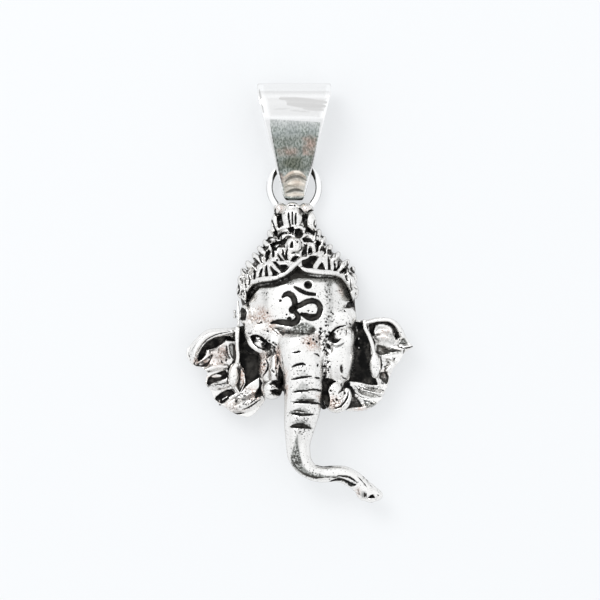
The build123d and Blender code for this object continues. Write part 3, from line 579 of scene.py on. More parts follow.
def shape_features(wax):
    """Furrows, eyeballs, grey tarnish and painted shade, before anything is engraved."""
    for width, depth, wall, line in FACE_FURROWS:
        wax.stroke(line, width, depth, wall)
    wax.relax(3)
    for width, height, line in EYEBALLS:
        wax.stroke(line, width, -height, wall=0.9, ends=FULL)
    wax.cover("black", NOSE_SHADE, share=0.48)
    wax.stroke(NOSE_CREASE, width=0.34, depth=0.1, wall=0.9, ends=BLUNT, black=0.5)
    for share, corners in FACE_TARNISH_AND_SHADE:
        wax.cover("tarnish_and_shade", corners, share)
    for width, share, line in FACE_SHADE_LINES:
        wax.shade("tarnish_and_shade", line, width, share)


def engrave_face(wax):
    for corners in BAND_GROOVES:
        wax.patch(corners, depth=0.4, wall=0.2, black=1.0)
    for width, ends, line in SIGN:
        wax.stroke(line, width + 0.1, depth=0.42, wall=0.45, ends=ends, black=1.0)
        # Each long stroke is greyer along its middle than at its edges
        if len(line) > 2:
            wax.shade("tarnish_and_shade", line, width * 0.8, share=0.5)
    for x, y in TRUNK_GROOVES:
        line = [(x, y), (GROOVE_MIDDLE, y + GROOVE_RISE), (GROOVE_ENDS - x, y)]
        wax.stroke(line, width=1.3, depth=0.08)
    for corners in FACE_HOLLOWS:
        wax.patch(corners, depth=0.55, wall=0.2, black=1.0)
    for width, depth, black, line in FACE_LINES:
        wax.stroke(line, width + 0.08, depth, wall=0.8, ends=SLIM, black=black)
    for x, y, width in FACE_PITS:
        line = [(x, y), (x + PIT_SLANT[0], y + PIT_SLANT[1])]
        wax.stroke(line, width + 0.1, depth=0.16, wall=0.6, ends=FULL, black=1.0)


def colour_face(wax):
    for centre, size in FACE_WARM:
        wax.tint("warm", centre, size)
    wax.tint("warm", (7.6, -22.4), (0.9, 1.5), 0.5)
    for centre, size, share in FACE_PITTED:
        wax.tint("pitted", centre, size, share)


# Crown from brim to finial: height and radius
CROWN = [
    (2.0, 7.3), (3.2, 7.6), (4.5, 7.6), (6.0, 7.2), (7.0, 6.75), (8.0, 5.85), (9.0, 4.85), (10.0, 4.15),
    (11.0, 3.4), (12.0, 2.85), (13.0, 2.5), (14.0, 2.2), (15.2, 2.1),
]
# The headband's two strands
LEFT_STRAND = [
    (-7.1, 4.0), (-6.7, 4.9), (-6.2, 5.3), (-5.0, 5.6), (-4.0, 5.7), (-3.0, 5.9), (-2.0, 6.4), (-1.2, 7.1),
    (-0.6, 7.6), (0.1, 8.2), (0.8, 8.5), (1.9, 8.8),
]
RIGHT_STRAND = [
    (0.3, 7.0), (1.0, 6.8), (2.0, 6.65), (3.0, 6.5), (4.0, 6.5), (5.0, 6.3), (5.7, 5.9), (6.3, 5.2),
    (6.6, 4.4),
]
# How each lies: its line, how far below that, how proud of the crown, and its radius
STRANDS = ((LEFT_STRAND, 0.06, 0.1, 0.45), (RIGHT_STRAND, 0.1, 0.0, 0.46))
# Bars of the crown's tiers: radius, how proud
CROWN_BARS = [
    (0.3, 0.35, [(-4.3, 10.5), (-3.9, 11.0), (-3.3, 11.1), (-2.8, 10.8)]),
    (0.3, 0.4, [(-2.4, 11.0), (-1.9, 11.45), (-1.3, 11.55), (-0.8, 11.3)]),
    (0.28, 0.35, [(0.2, 11.1), (0.6, 11.5), (1.2, 11.5), (1.6, 11.1), (1.65, 10.6)]),
    (0.28, 0.3, [(2.1, 11.2), (2.6, 11.1), (3.1, 10.7)]),
    (0.35, 0.2, [(-2.9, 12.1), (-2.2, 12.4), (-1.6, 12.6)]),
    (0.3, 0.3, [(-0.6, 12.4), (0.0, 12.5), (0.5, 12.2)]),
    (0.3, 0.25, [(-5.0, 9.4), (-4.4, 9.6), (-3.7, 9.6)]),
    (0.35, 0.3, [(-3.4, 9.3), (-2.9, 9.9), (-2.2, 9.9)]),
    (0.3, 0.35, [(0.9, 9.2), (1.0, 10.1), (1.5, 10.3), (1.8, 9.8), (1.8, 9.0)]),
    (0.3, 0.3, [(2.4, 9.6), (2.9, 9.9), (3.6, 9.9)]),
]
# Leaf tips that break the crown's outline: centre and turn in degrees
LEAF_TIPS = [
    ((-7.9, 4.0, 2.2), 6), ((-7.75, 5.2, 2.0), 14), ((-7.3, 6.3, 2.0), 24), ((-6.6, 7.3, 1.8), 32),
    ((-5.7, 8.4, 1.6), 38), ((-5.0, 9.3, 1.5), 38), ((-4.3, 10.1, 1.5), 36), ((-3.8, 11.3, 1.4), 24),
    ((7.3, 3.9, 2.2), -4), ((7.05, 5.4, 2.0), -14), ((6.75, 6.5, 2.0), -22), ((5.9, 7.5, 1.8), -34),
    ((4.7, 8.5, 1.6), -36), ((3.7, 9.5, 1.5), -32), ((2.9, 10.5, 1.4), -26), ((2.35, 11.4, 1.3), -14),
]
LEAF_SIZE = (0.95, 1.9, 3.4)
# The second leaf over each: its size, how near the middle it is in shares, and how far down and up it moves
UPPER_LEAF_SIZE = (0.95, 1.9, 2.4)
UPPER_LEAF_SHARE = 0.93
UPPER_LEAF_DROP = 0.3
UPPER_LEAF_LIFT = 1.2
# Lumps of the boss and the finial: centre, size and turn in degrees
FINIAL_LUMPS = [
    ((-0.85, 9.9, 4.3), (2.3, 2.6, 2.0), 0), ((-1.05, 13.75, 2.1), (2.9, 3.2, 2.2), 0),
    ((1.45, 13.1, 1.4), (1.5, 3.0, 2.2), 4), ((-3.25, 13.1, 1.4), (1.2, 2.9, 2.2), -6),
    ((-2.65, 14.95, 2.0), (1.75, 1.6, 2.5), 20), ((0.85, 14.9, 2.0), (2.0, 1.6, 2.5), -20),
    ((-1.0, 15.35, 1.9), (1.7, 0.9, 1.8), 0),
]
# Black slots between the crown's leaves: width
CROWN_SLOTS = [
    (0.17, [(-7.6, 7.0), (-7.15, 6.15)]), (0.2, [(-6.95, 7.0), (-6.9, 6.45)]),
    (0.26, [(-6.0, 7.0), (-6.02, 5.75)]), (0.2, [(-6.65, 6.15), (-6.68, 5.5), (-6.78, 4.85)]),
    (0.14, [(-7.5, 6.2), (-7.4, 5.9)]), (0.27, [(-7.85, 5.85), (-7.65, 5.4), (-7.7, 5.0)]),
    (0.16, [(-7.2, 5.8), (-7.2, 5.2), (-7.05, 4.5)]), (0.24, [(-8.15, 4.85), (-8.05, 4.3), (-8.2, 3.7)]),
    (0.16, [(-7.7, 4.2), (-7.75, 3.8), (-7.9, 3.4)]), (0.16, [(-7.45, 4.3), (-7.4, 3.9), (-7.3, 3.6)]),
    (0.16, [(-7.6, 3.4), (-7.45, 3.1)]), (0.2, [(-7.95, 2.9), (-7.7, 2.9)]),
    (0.19, [(-6.05, 8.3), (-5.45, 7.7)]), (0.21, [(-5.35, 9.0), (-5.0, 7.9)]),
    (0.32, [(-3.6, 9.5), (-3.55, 8.7)]), (0.2, [(-1.7, 9.5), (-1.87, 9.1), (-1.8, 8.6)]),
    (0.3, [(-3.07, 8.22), (-3.0, 8.18)]), (0.21, [(5.1, 7.95), (5.13, 7.4), (4.95, 7.0)]),
    (0.26, [(5.35, 6.5), (5.6, 6.7), (6.0, 7.0)]), (0.22, [(6.02, 6.2), (6.1, 6.0), (6.25, 5.5)]),
    (0.12, [(6.3, 8.0), (6.25, 7.3)]), (0.18, [(5.88, 7.7), (5.95, 7.68)]),
    (0.3, [(6.65, 7.2), (6.85, 6.85), (7.2, 6.5)]), (0.2, [(6.55, 6.5), (6.75, 6.35), (7.0, 6.1)]),
    (0.16, [(6.75, 5.6), (6.75, 4.9), (6.8, 4.3)]), (0.16, [(7.25, 4.65), (7.6, 4.4)]),
    (0.12, [(6.3, 6.9), (6.4, 6.6)]), (0.14, [(7.3, 5.9), (7.35, 5.5)]), (0.12, [(7.9, 3.5), (7.95, 2.9)]),
    (0.14, [(7.35, 3.8), (7.45, 3.5)]), (0.08, [(-0.5, 10.75), (-0.32, 10.5), (-0.2, 10.7)]),
    (0.06, [(-1.75, 9.4), (-1.8, 10.2)]),
    (0.26, [(-3.0, 11.35), (-2.5, 11.63), (-1.8, 11.75), (-1.2, 11.75), (-0.8, 11.6)]),
    (0.15, [(-4.35, 10.75), (-4.0, 11.05), (-3.5, 11.15), (-3.1, 11.1)]),
    (0.36, [(-3.15, 11.8), (-3.35, 11.4)]), (0.17, [(-1.55, 14.4), (-1.5, 13.4), (-1.28, 12.6)]),
    (0.15, [(-1.0, 14.5), (-1.0, 13.5), (-0.95, 12.8)]),
    (0.18, [(-0.5, 14.3), (-0.55, 13.6), (-0.55, 12.9)]),
    (0.13, [(-0.1, 15.0), (0.2, 14.65), (0.45, 14.3)]), (0.2, [(1.0, 14.35), (1.3, 14.6), (1.7, 14.72)]),
    (0.11, [(2.0, 13.4), (1.9, 12.9), (2.05, 12.5)]), (0.1, [(2.35, 13.1), (2.15, 12.5)]),
    (0.12, [(2.5, 12.7), (2.4, 12.3)]), (0.15, [(-3.75, 13.4), (-3.5, 12.6), (-3.2, 12.0)]),
    (0.16, [(2.4, 11.4), (2.5, 11.25)]), (0.16, [(2.9, 11.4), (2.95, 11.2)]),
    (0.16, [(3.15, 10.35), (3.3, 10.15)]), (0.2, [(-4.8, 10.0), (-4.6, 9.6), (-4.3, 9.8), (-4.15, 10.1)]),
    (0.12, [(-1.5, 15.38), (-1.0, 15.38)]), (0.2, [(-0.68, 15.36), (-0.6, 15.34)]),
    (0.14, [(-3.3, 14.9), (-3.35, 14.4), (-3.1, 14.1)]),
]
# Black hollows between the crown's leaves, petals and scallops
CROWN_HOLLOWS = [
    [(-6.45, 7.35), (-6.2, 7.15), (-6.3, 6.85), (-6.5, 6.6), (-6.52, 7.1)],
    [(-5.0, 7.2), (-4.93, 6.9), (-5.08, 6.4), (-5.1, 5.95), (-5.5, 5.9), (-5.45, 6.5), (-5.25, 7.0)],
    [(-4.4, 7.6), (-4.33, 7.0), (-4.2, 6.05), (-4.7, 6.05), (-4.67, 6.6), (-4.62, 7.4)],
    [(-3.97, 7.5), (-3.8, 7.35), (-3.5, 7.0), (-3.0, 6.6), (-2.75, 6.35), (-3.1, 6.1), (-3.65, 6.1),
     (-3.72, 6.6), (-3.95, 7.1)],
    [(-3.7, 8.05), (-3.3, 8.08), (-3.0, 7.8), (-2.8, 7.6), (-2.2, 7.62), (-1.85, 7.6), (-1.42, 7.3),
     (-1.6, 7.0), (-2.0, 6.6), (-2.45, 6.45), (-2.6, 6.8), (-3.0, 7.2), (-3.3, 7.6)],
    [(-4.15, 9.38), (-4.02, 9.1), (-4.1, 8.7), (-4.3, 8.2), (-4.45, 7.97), (-4.62, 8.3), (-4.62, 8.8),
     (-4.4, 9.2)],
    [(-3.02, 9.15), (-2.75, 8.8), (-2.4, 8.4), (-2.12, 8.07), (-2.6, 8.07), (-2.8, 8.5), (-3.02, 8.8)],
    [(-2.38, 9.55), (-2.2, 9.4), (-2.08, 8.9), (-1.8, 8.6), (-1.48, 8.2), (-2.0, 8.17), (-2.2, 8.6),
     (-2.47, 9.0)],
    [(-1.3, 8.1), (-1.0, 8.6), (-0.6, 8.8), (-0.15, 8.72), (-0.02, 8.5), (-0.4, 8.22), (-0.75, 7.9)],
    [(0.3, 8.05), (0.7, 8.15), (1.1, 8.35), (1.4, 8.7), (2.0, 8.72), (2.55, 8.68), (2.1, 8.1), (1.75, 7.6),
     (1.65, 7.15), (1.0, 7.1), (0.3, 7.3)],
    [(2.3, 7.05), (2.6, 7.6), (2.95, 8.0), (3.2, 7.5), (3.35, 6.95)],
    [(3.75, 8.8), (3.97, 8.2), (4.07, 7.5), (4.12, 6.85), (3.72, 6.95), (3.73, 7.6), (3.68, 8.2)],
    [(4.5, 8.05), (4.65, 7.95), (4.82, 7.3), (4.95, 6.75), (4.43, 6.75), (4.58, 7.2), (4.48, 7.6)],
    [(4.6, 9.05), (4.78, 8.57), (4.35, 8.57)],
    [(3.72, 10.05), (4.07, 9.4), (4.22, 8.87), (3.68, 8.97), (3.62, 9.4)],
    [(3.03, 9.95), (3.32, 9.85), (3.43, 8.95), (3.12, 8.9), (3.08, 9.4)],
    [(2.12, 10.7), (2.9, 10.65), (2.98, 10.2), (2.6, 10.05), (2.42, 9.95), (2.42, 9.3), (2.12, 9.25)],
    [(1.3, 9.9), (1.47, 9.5), (1.58, 9.0), (1.3, 8.85), (1.08, 9.0), (1.13, 9.5)],
    [(0.55, 10.35), (0.95, 10.25), (0.87, 9.4), (0.87, 8.65), (0.27, 8.65), (0.27, 9.1), (0.48, 9.6)],
    [(-1.05, 10.75), (-0.92, 10.55), (-0.92, 9.75), (-1.4, 9.75), (-1.32, 10.3)],
    [(-3.9, 10.2), (-3.3, 10.45), (-3.0, 10.45), (-2.6, 10.65), (-2.2, 10.85), (-1.65, 10.9), (-1.95, 10.3),
     (-2.0, 9.75), (-2.95, 9.75), (-3.0, 9.4), (-3.55, 9.4), (-3.65, 9.8)],
    [(-2.95, 11.45), (-2.45, 11.4), (-2.4, 10.8), (-2.9, 10.9)],
    [(-0.65, 12.1), (-0.2, 12.25), (0.2, 11.95), (0.4, 11.7), (0.2, 11.15), (-0.1, 11.05), (-0.5, 11.2),
     (-0.75, 11.6)],
    [(-1.65, 12.3), (-1.2, 12.45), (-0.87, 12.45), (-0.82, 12.0), (-0.87, 11.75), (-1.35, 11.85)],
    [(0.3, 10.95), (0.8, 11.1), (1.2, 11.05), (1.5, 10.75), (1.95, 10.5), (1.6, 10.5), (1.1, 10.57),
     (0.55, 10.57)],
    [(0.75, 12.65), (1.1, 12.35), (1.65, 11.9), (1.65, 11.55), (1.0, 11.65), (0.65, 11.7), (0.85, 12.1)],
    [(2.1, 12.1), (2.28, 11.8), (2.12, 11.2), (2.12, 10.6), (1.92, 10.6), (1.92, 11.2), (2.05, 11.7)],
    [(-3.0, 14.0), (-2.6, 13.95), (-2.65, 13.3), (-2.6, 12.55), (-2.8, 12.4), (-2.95, 12.9), (-3.0, 13.6)],
    [(0.5, 14.1), (0.9, 14.05), (0.85, 13.4), (0.9, 12.6), (0.65, 12.6), (0.5, 12.95), (0.52, 13.4)],
]
# The forehead's opening in the crown, under the strands
CROWN_OPENING = [
    (-7.15, 1.0), (-6.95, 3.6), (-6.6, 4.35), (-6.1, 4.85), (-5.0, 5.2), (-4.0, 5.3), (-3.0, 5.5),
    (-1.9, 6.0), (-1.0, 6.65), (-0.3, 7.3), (0.3, 6.7), (1.0, 6.4), (2.0, 6.25), (3.0, 6.15), (4.0, 6.1),
    (4.8, 5.95), (5.4, 5.65), (5.95, 5.0), (6.3, 4.3), (6.75, 3.3), (7.2, 1.0),
]
# Shade under the boss and round the two knobs: width, share; then the finial's right slot
CROWN_SHADES = [
    (0.5, 1.0, [(-1.1, 8.95), (-0.6, 9.2), (-0.1, 9.05)]),
    (0.2, 0.8, [(-0.2, 9.6), (0.05, 10.1), (-0.1, 10.5)]),
    (0.22, 0.9, [(-3.35, 15.1), (-3.3, 14.5), (-2.8, 14.15), (-2.1, 14.3), (-1.9, 14.9)]),
    (0.22, 0.9, [(-0.05, 15.2), (0.15, 14.6), (0.8, 14.25), (1.45, 14.45), (1.6, 15.1)]),
]
FINIAL_SLOT = [(0.3, 14.6), (1.4, 14.5), (0.95, 13.6), (0.95, 12.4), (0.4, 12.4), (0.4, 13.8)]


def shape_crown():
    def on_crown(x, y, proud):
        return (x, y, float(dome_lift(CROWN, x, y)) + proud)

    parts = [turned(CROWN)]
    for line, drop, proud, radius in STRANDS:
        parts.append(bar([(*on_crown(x, y - drop, proud), radius) for x, y in line]))
    for radius, proud, line in CROWN_BARS:
        rows = [(*on_crown(x, y, proud - radius / 2), radius) for x, y in line]
        parts.append(bar(rows, spacing=0.2, sides=12))
    for (x, y, z), turn in LEAF_TIPS:
        parts.append(egg((x, y, z), LEAF_SIZE, turn))
        upper = (x * UPPER_LEAF_SHARE, y - UPPER_LEAF_DROP, z + UPPER_LEAF_LIFT)
        parts.append(egg(upper, UPPER_LEAF_SIZE, turn))
    parts += [egg(centre, size, turn) for centre, size, turn in FINIAL_LUMPS]
    wax = Wax(cast(parts, "crown_casting", CROWN_GRAIN))
    wax.relax(5)
    carve_crown(wax)
    wax.rest_on_table()
    return wax


def carve_crown(wax):
    wax.patch(CROWN_OPENING, depth=2.6, wall=0.3, straight=True)
    for width, line in CROWN_SLOTS:
        wax.stroke(line, width + 0.16, depth=0.45, wall=0.6, ends=(0.75, 0.75), black=1.0)
    for corners in CROWN_HOLLOWS:
        wax.patch(corners, depth=0.6, wall=0.16, black=1.0)
    # Shade on the lower side of the strands
    for line in (LEFT_STRAND, RIGHT_STRAND):
        wax.shade("tarnish_and_shade", [(x, y - 0.34) for x, y in line], width=0.36, share=0.5)
    for width, share, line in CROWN_SHADES:
        wax.shade("tarnish_and_shade", line, width, share)
    wax.cover("tarnish_and_shade", FINIAL_SLOT, share=1.0, soft=0.2)
    wax.tint("warm", (-2.65, 14.95), (1.3, 1.2), 0.5)
    wax.tint("warm", (0.8, 14.95), (1.5, 1.2), 0.5)


# The ears' outlines, and the sheet that they are cut from
LEFT_EAR = [
    (-5.0, 0.2), (-8.3, -0.65), (-10.0, -0.8), (-12.2, -1.0), (-13.7, -2.2), (-14.8, -3.5), (-14.95, -4.4),
    (-14.4, -5.4), (-13.9, -5.8), (-12.8, -6.1), (-12.2, -6.6), (-12.4, -7.4), (-12.5, -8.2), (-12.0, -8.7),
    (-11.6, -9.3), (-11.4, -10.1), (-10.6, -10.8), (-9.8, -11.3), (-9.0, -11.9), (-8.0, -12.3),
    (-6.9, -12.6), (-6.0, -12.1), (-5.2, -11.2), (-4.6, -10.3), (-4.7, -9.6), (-4.6, -8.0), (-4.4, -4.0),
]
RIGHT_EAR = [
    (5.0, 0.4), (8.3, 0.2), (9.0, 0.3), (10.0, 0.6), (11.0, 0.6), (12.0, 0.5), (13.0, -0.2), (13.7, -1.3),
    (14.0, -2.0), (14.5, -2.8), (14.9, -3.2), (14.6, -3.6), (13.8, -4.0), (13.2, -5.1), (12.7, -5.7),
    (12.2, -6.4), (11.9, -7.1), (11.6, -8.3), (11.2, -9.2), (10.9, -10.0), (10.6, -10.4), (10.0, -10.9),
    (9.3, -11.4), (8.4, -11.7), (7.0, -11.8), (6.0, -11.6), (5.0, -10.0), (4.6, -6.0),
]
EAR_WALL = 1.2
EAR_SEAT = 1.8
# How steeply the sheet rises past where it springs from the head
EAR_RISE = 0.12
EAR_ROOT = 7.0
# Folds of the left ear's sheet: width, height
LEFT_EAR_FOLDS = [
    (2.4, 1.1, [(-8.3, -1.2), (-10.0, -1.4), (-12.0, -1.7), (-13.3, -2.9), (-13.9, -4.2), (-13.9, -5.0)]),
    (1.4, 0.5, [(-9.6, -5.9), (-11.0, -5.9), (-12.6, -6.4)]),
    (1.5, 0.6, [(-9.4, -8.3), (-10.8, -8.4), (-12.2, -8.2)]),
    (1.5, 0.5, [(-8.6, -10.2), (-9.6, -11.0), (-10.6, -10.6)]),
    (2.6, 0.9, [(-5.2, -9.6), (-6.6, -10.6), (-8.6, -11.2)]),
    (2.0, 0.5, [(-11.6, -4.0), (-10.6, -4.2), (-9.8, -4.6)]),
]
# Its hollows: depth, how black
LEFT_EAR_HOLLOWS = [
    (0.9, 1.0, [(-13.35, -5.2), (-13.3, -4.5), (-12.9, -3.5), (-12.2, -2.65), (-11.2, -2.15), (-10.0, -1.9),
                (-9.2, -2.0), (-8.6, -2.25), (-8.6, -2.5), (-9.3, -2.5), (-9.7, -2.38), (-10.2, -2.85),
                (-11.0, -3.3), (-12.3, -3.7), (-12.45, -4.4), (-12.9, -4.9)]),
    (0.45, 0.7, [(-11.5, -4.35), (-11.95, -4.5), (-12.5, -4.95), (-13.1, -5.3), (-13.6, -5.6),
                 (-12.9, -5.95), (-12.3, -5.8), (-12.0, -5.5), (-11.7, -4.95)]),
    (0.6, 1.0, [(-9.75, -6.4), (-10.5, -6.6), (-11.5, -6.95), (-12.05, -7.4), (-12.25, -8.1), (-12.0, -8.5),
                (-11.6, -8.0), (-10.9, -7.75), (-9.75, -7.45), (-9.55, -7.0)]),
    (0.6, 0.85, [(-8.75, -8.8), (-9.6, -8.95), (-10.4, -9.35), (-11.0, -9.85), (-11.2, -10.2),
                 (-10.8, -10.5), (-10.4, -10.75), (-9.9, -10.4), (-9.5, -10.0), (-8.9, -9.6),
                 (-8.5, -9.4)]),
    (0.9, 1.0, [(-7.0, -0.1), (-7.95, -0.1), (-7.95, -5.0), (-7.7, -5.8), (-7.2, -6.8), (-7.15, -8.0),
                (-7.65, -9.15), (-7.3, -8.7), (-6.8, -8.15), (-6.0, -7.65), (-5.4, -7.25), (-4.8, -6.0),
                (-5.0, -4.0), (-6.0, -2.0)]),
    (0.4, 0.4, [(-7.9, -5.7), (-7.4, -6.1), (-7.15, -7.0), (-7.3, -8.0), (-7.95, -9.3), (-8.6, -8.6),
                (-8.4, -7.7), (-8.0, -6.8)]),
    (0.5, 0.85, [(-5.2, -8.5), (-5.9, -9.3), (-6.0, -10.0), (-5.1, -9.95), (-4.8, -9.3), (-4.6, -8.6)]),
    (0.2, 0.34, [(-9.35, -3.0), (-8.7, -2.8), (-8.5, -4.3), (-8.6, -5.0), (-9.0, -4.6), (-9.3, -3.8)]),
    (0.1, 0.3, [(-9.9, -2.7), (-9.5, -3.3), (-9.3, -4.3), (-9.6, -5.2), (-10.3, -5.5), (-10.8, -4.4),
                (-10.7, -3.4)]),
]
# Its lines: width, depth, how black
LEFT_EAR_LINES = [
    (0.2, 0.2, 0.9, [(-13.35, -3.9), (-12.9, -3.1), (-12.2, -2.35), (-11.0, -1.68), (-9.8, -1.38),
                     (-8.7, -1.15)]),
    (0.3, 0.25, 1.0, [(-8.65, -1.3), (-8.55, -1.8), (-8.65, -2.1)]),
    (0.24, 0.25, 0.9, [(-9.7, -3.1), (-9.5, -4.2), (-9.1, -4.9)]),
    (0.2, 0.12, 0.7, [(-10.35, -10.85), (-9.9, -10.4), (-9.3, -10.0)]),
    (0.3, 0.2, 0.85, [(-9.2, -12.0), (-8.3, -12.12), (-7.3, -12.0)]),
    (0.2, 0.15, 0.45, [(-9.8, -8.0), (-10.9, -8.2), (-11.9, -8.5)]),
    (0.3, 0.2, 0.9, [(-7.6, -11.6), (-7.0, -11.4), (-6.2, -10.95), (-5.6, -10.5), (-5.1, -10.2)]),
    (0.3, 0.15, 0.6, [(-6.6, -10.8), (-6.0, -10.3), (-5.6, -10.0)]),
    (0.22, 0.12, 0.5, [(-14.0, -4.6), (-13.6, -5.2), (-14.0, -5.55)]),
    (0.14, 0.1, 0.4, [(-14.4, -4.0), (-13.9, -3.1), (-13.2, -2.3), (-12.2, -1.4)]),
    (0.24, 0.12, 0.9, [(-14.1, -5.5), (-13.6, -5.75), (-13.0, -5.8)]),
    (0.2, 0.1, 0.7, [(-12.3, -8.3), (-11.9, -8.6)]),
    (0.18, 0.1, 0.6, [(-8.3, -7.7), (-8.1, -8.6), (-7.8, -9.2)]),
    (0.14, 0.1, 0.5, [(-7.3, -6.4), (-7.7, -7.4), (-7.6, -8.6)]),
]
# Its coppery places: centre, size; and its rough ones, with their share
LEFT_EAR_WARM = [
    ((-10.2, -4.2), (1.6, 2.6)), ((-11.4, -7.3), (1.8, 0.7)), ((-7.6, -7.2), (1.2, 3.4)),
    ((-13.6, -5.2), (1.0, 1.0)), ((-12.4, -5.4), (1.6, 1.0)), ((-6.6, -9.4), (2.2, 2.4)),
    ((-10.4, -10.4), (0.9, 0.6)), ((-5.6, -9.6), (1.0, 1.4)),
]
LEFT_EAR_PITTED = [
    ((-7.4, -10.0), (3.8, 2.8), 0.9), ((-10.8, -8.2), (2.4, 0.7), 0.9), ((-10.1, -4.6), (1.6, 2.0), 0.7),
    ((-8.2, -11.4), (3.0, 1.0), 0.5),
]
# Folds of the right ear's sheet: width, height
RIGHT_EAR_FOLDS = [
    (2.2, 1.1, [(8.4, -0.2), (10.0, 0.2), (11.8, 0.2), (12.9, -0.7), (13.5, -2.0)]),
    (2.6, 0.5, [(10.2, -2.0), (11.6, -2.2), (12.6, -2.8)]),
    (1.2, 0.4, [(14.7, -3.2), (13.0, -3.6), (11.0, -3.6)]),
    (1.6, 0.5, [(11.6, -5.0), (12.2, -5.6), (11.4, -6.4)]),
    (1.4, 0.7, [(8.0, -9.0), (9.4, -9.3), (11.0, -9.4)]),
    (1.3, 0.6, [(6.6, -11.4), (8.4, -11.3), (9.8, -10.8)]),
]
# Its hollows: depth, how black
RIGHT_EAR_HOLLOWS = [
    (0.8, 1.0, [(9.1, -0.6), (9.5, -0.25), (10.3, -0.02), (11.5, 0.0), (12.1, -0.25), (12.55, -0.8),
                (12.9, -1.5), (12.9, -2.15), (12.7, -2.3), (12.5, -1.75), (12.3, -1.3), (11.9, -0.85),
                (11.4, -0.55), (10.4, -0.45), (9.85, -0.65), (9.65, -1.3), (9.75, -1.7), (9.45, -1.85),
                (9.15, -1.2)]),
    (0.3, 0.5, [(10.1, -3.05), (10.8, -3.2), (12.0, -3.4), (13.3, -3.8), (13.2, -4.05), (11.5, -4.15),
                (10.6, -4.35), (10.05, -4.05)]),
    (0.4, 0.5, [(13.55, -2.2), (14.15, -2.85), (13.1, -2.9)]),
    (0.5, 0.6, [(10.6, -6.65), (11.3, -6.6), (11.65, -7.2), (11.55, -7.8), (11.35, -8.2), (10.9, -7.75),
                (10.4, -7.3)]),
    (0.9, 1.0, [(6.8, 0.0), (8.1, -0.1), (8.35, -0.8), (8.8, -1.7), (9.15, -2.7), (9.3, -4.3), (9.0, -5.6),
                (9.25, -6.5), (9.9, -7.6), (10.2, -8.3), (9.0, -8.2), (8.0, -7.95), (6.4, -7.75),
                (5.8, -6.0), (6.0, -4.0), (6.4, -2.0)]),
    (0.5, 0.62, [(6.75, -9.7), (7.3, -9.95), (7.8, -10.5), (8.05, -11.1), (7.6, -11.05), (6.9, -11.05),
                 (6.6, -10.4)]),
    (0.2, 0.36, [(8.3, -10.25), (9.2, -10.45), (9.75, -10.8), (9.55, -11.15), (8.9, -11.2), (8.55, -10.8)]),
    (0.1, 0.0, [(10.8, -4.8), (12.7, -4.7), (12.2, -5.4), (11.0, -6.1)]),
]
# Its lines: width, depth, how black
RIGHT_EAR_LINES = [
    (0.22, 0.2, 1.0, [(12.85, -3.1), (13.6, -3.4), (14.2, -3.35), (14.9, -3.25)]),
    (0.3, 0.15, 0.9, [(13.8, -3.5), (14.5, -3.4)]), (0.24, 0.2, 0.8, [(13.75, -3.6), (13.6, -4.2)]),
    (0.28, 0.2, 1.0, [(10.6, -4.6), (10.7, -4.65)]), (0.28, 0.2, 1.0, [(10.7, -5.15), (10.8, -5.2)]),
    (0.28, 0.2, 1.0, [(10.75, -5.65), (10.85, -5.7)]),
    (0.2, 0.15, 0.6, [(8.3, -8.35), (9.3, -8.65), (10.3, -8.75)]),
    (0.2, 0.15, 0.6, [(7.4, -8.9), (9.0, -9.3), (10.6, -9.9)]),
    (0.18, 0.12, 0.45, [(7.6, -8.5), (9.4, -9.0), (10.8, -9.3)]),
    (0.2, 0.12, 0.5, [(7.2, -9.3), (8.1, -9.9), (9.2, -10.2)]),
    (0.3, 0.2, 0.9, [(9.1, -5.9), (9.35, -6.6), (9.9, -7.4), (10.35, -8.2)]),
    (0.2, 0.1, 0.5, [(8.3, -11.35), (9.3, -11.25)]),
]
# Its coppery places: centre, size; and its rough ones, with their share
RIGHT_EAR_WARM = [
    ((11.6, -3.7), (3.0, 0.9)), ((7.8, -11.4), (2.6, 0.6)), ((11.1, -6.9), (1.0, 1.4)),
    ((7.9, -1.6), (1.0, 2.0)), ((7.2, -10.2), (1.4, 1.2)), ((11.2, -1.6), (2.2, 1.6)),
    ((8.0, -11.2), (0.8, 0.8)),
]
RIGHT_EAR_PITTED = [
    ((9.6, -1.1), (0.8, 1.0), 0.8), ((8.6, -8.9), (4.0, 1.6), 0.7), ((11.0, -7.4), (1.2, 1.8), 1.0),
    ((7.4, -10.4), (1.6, 1.6), 1.0), ((10.6, -5.2), (0.5, 1.8), 1.0),
]
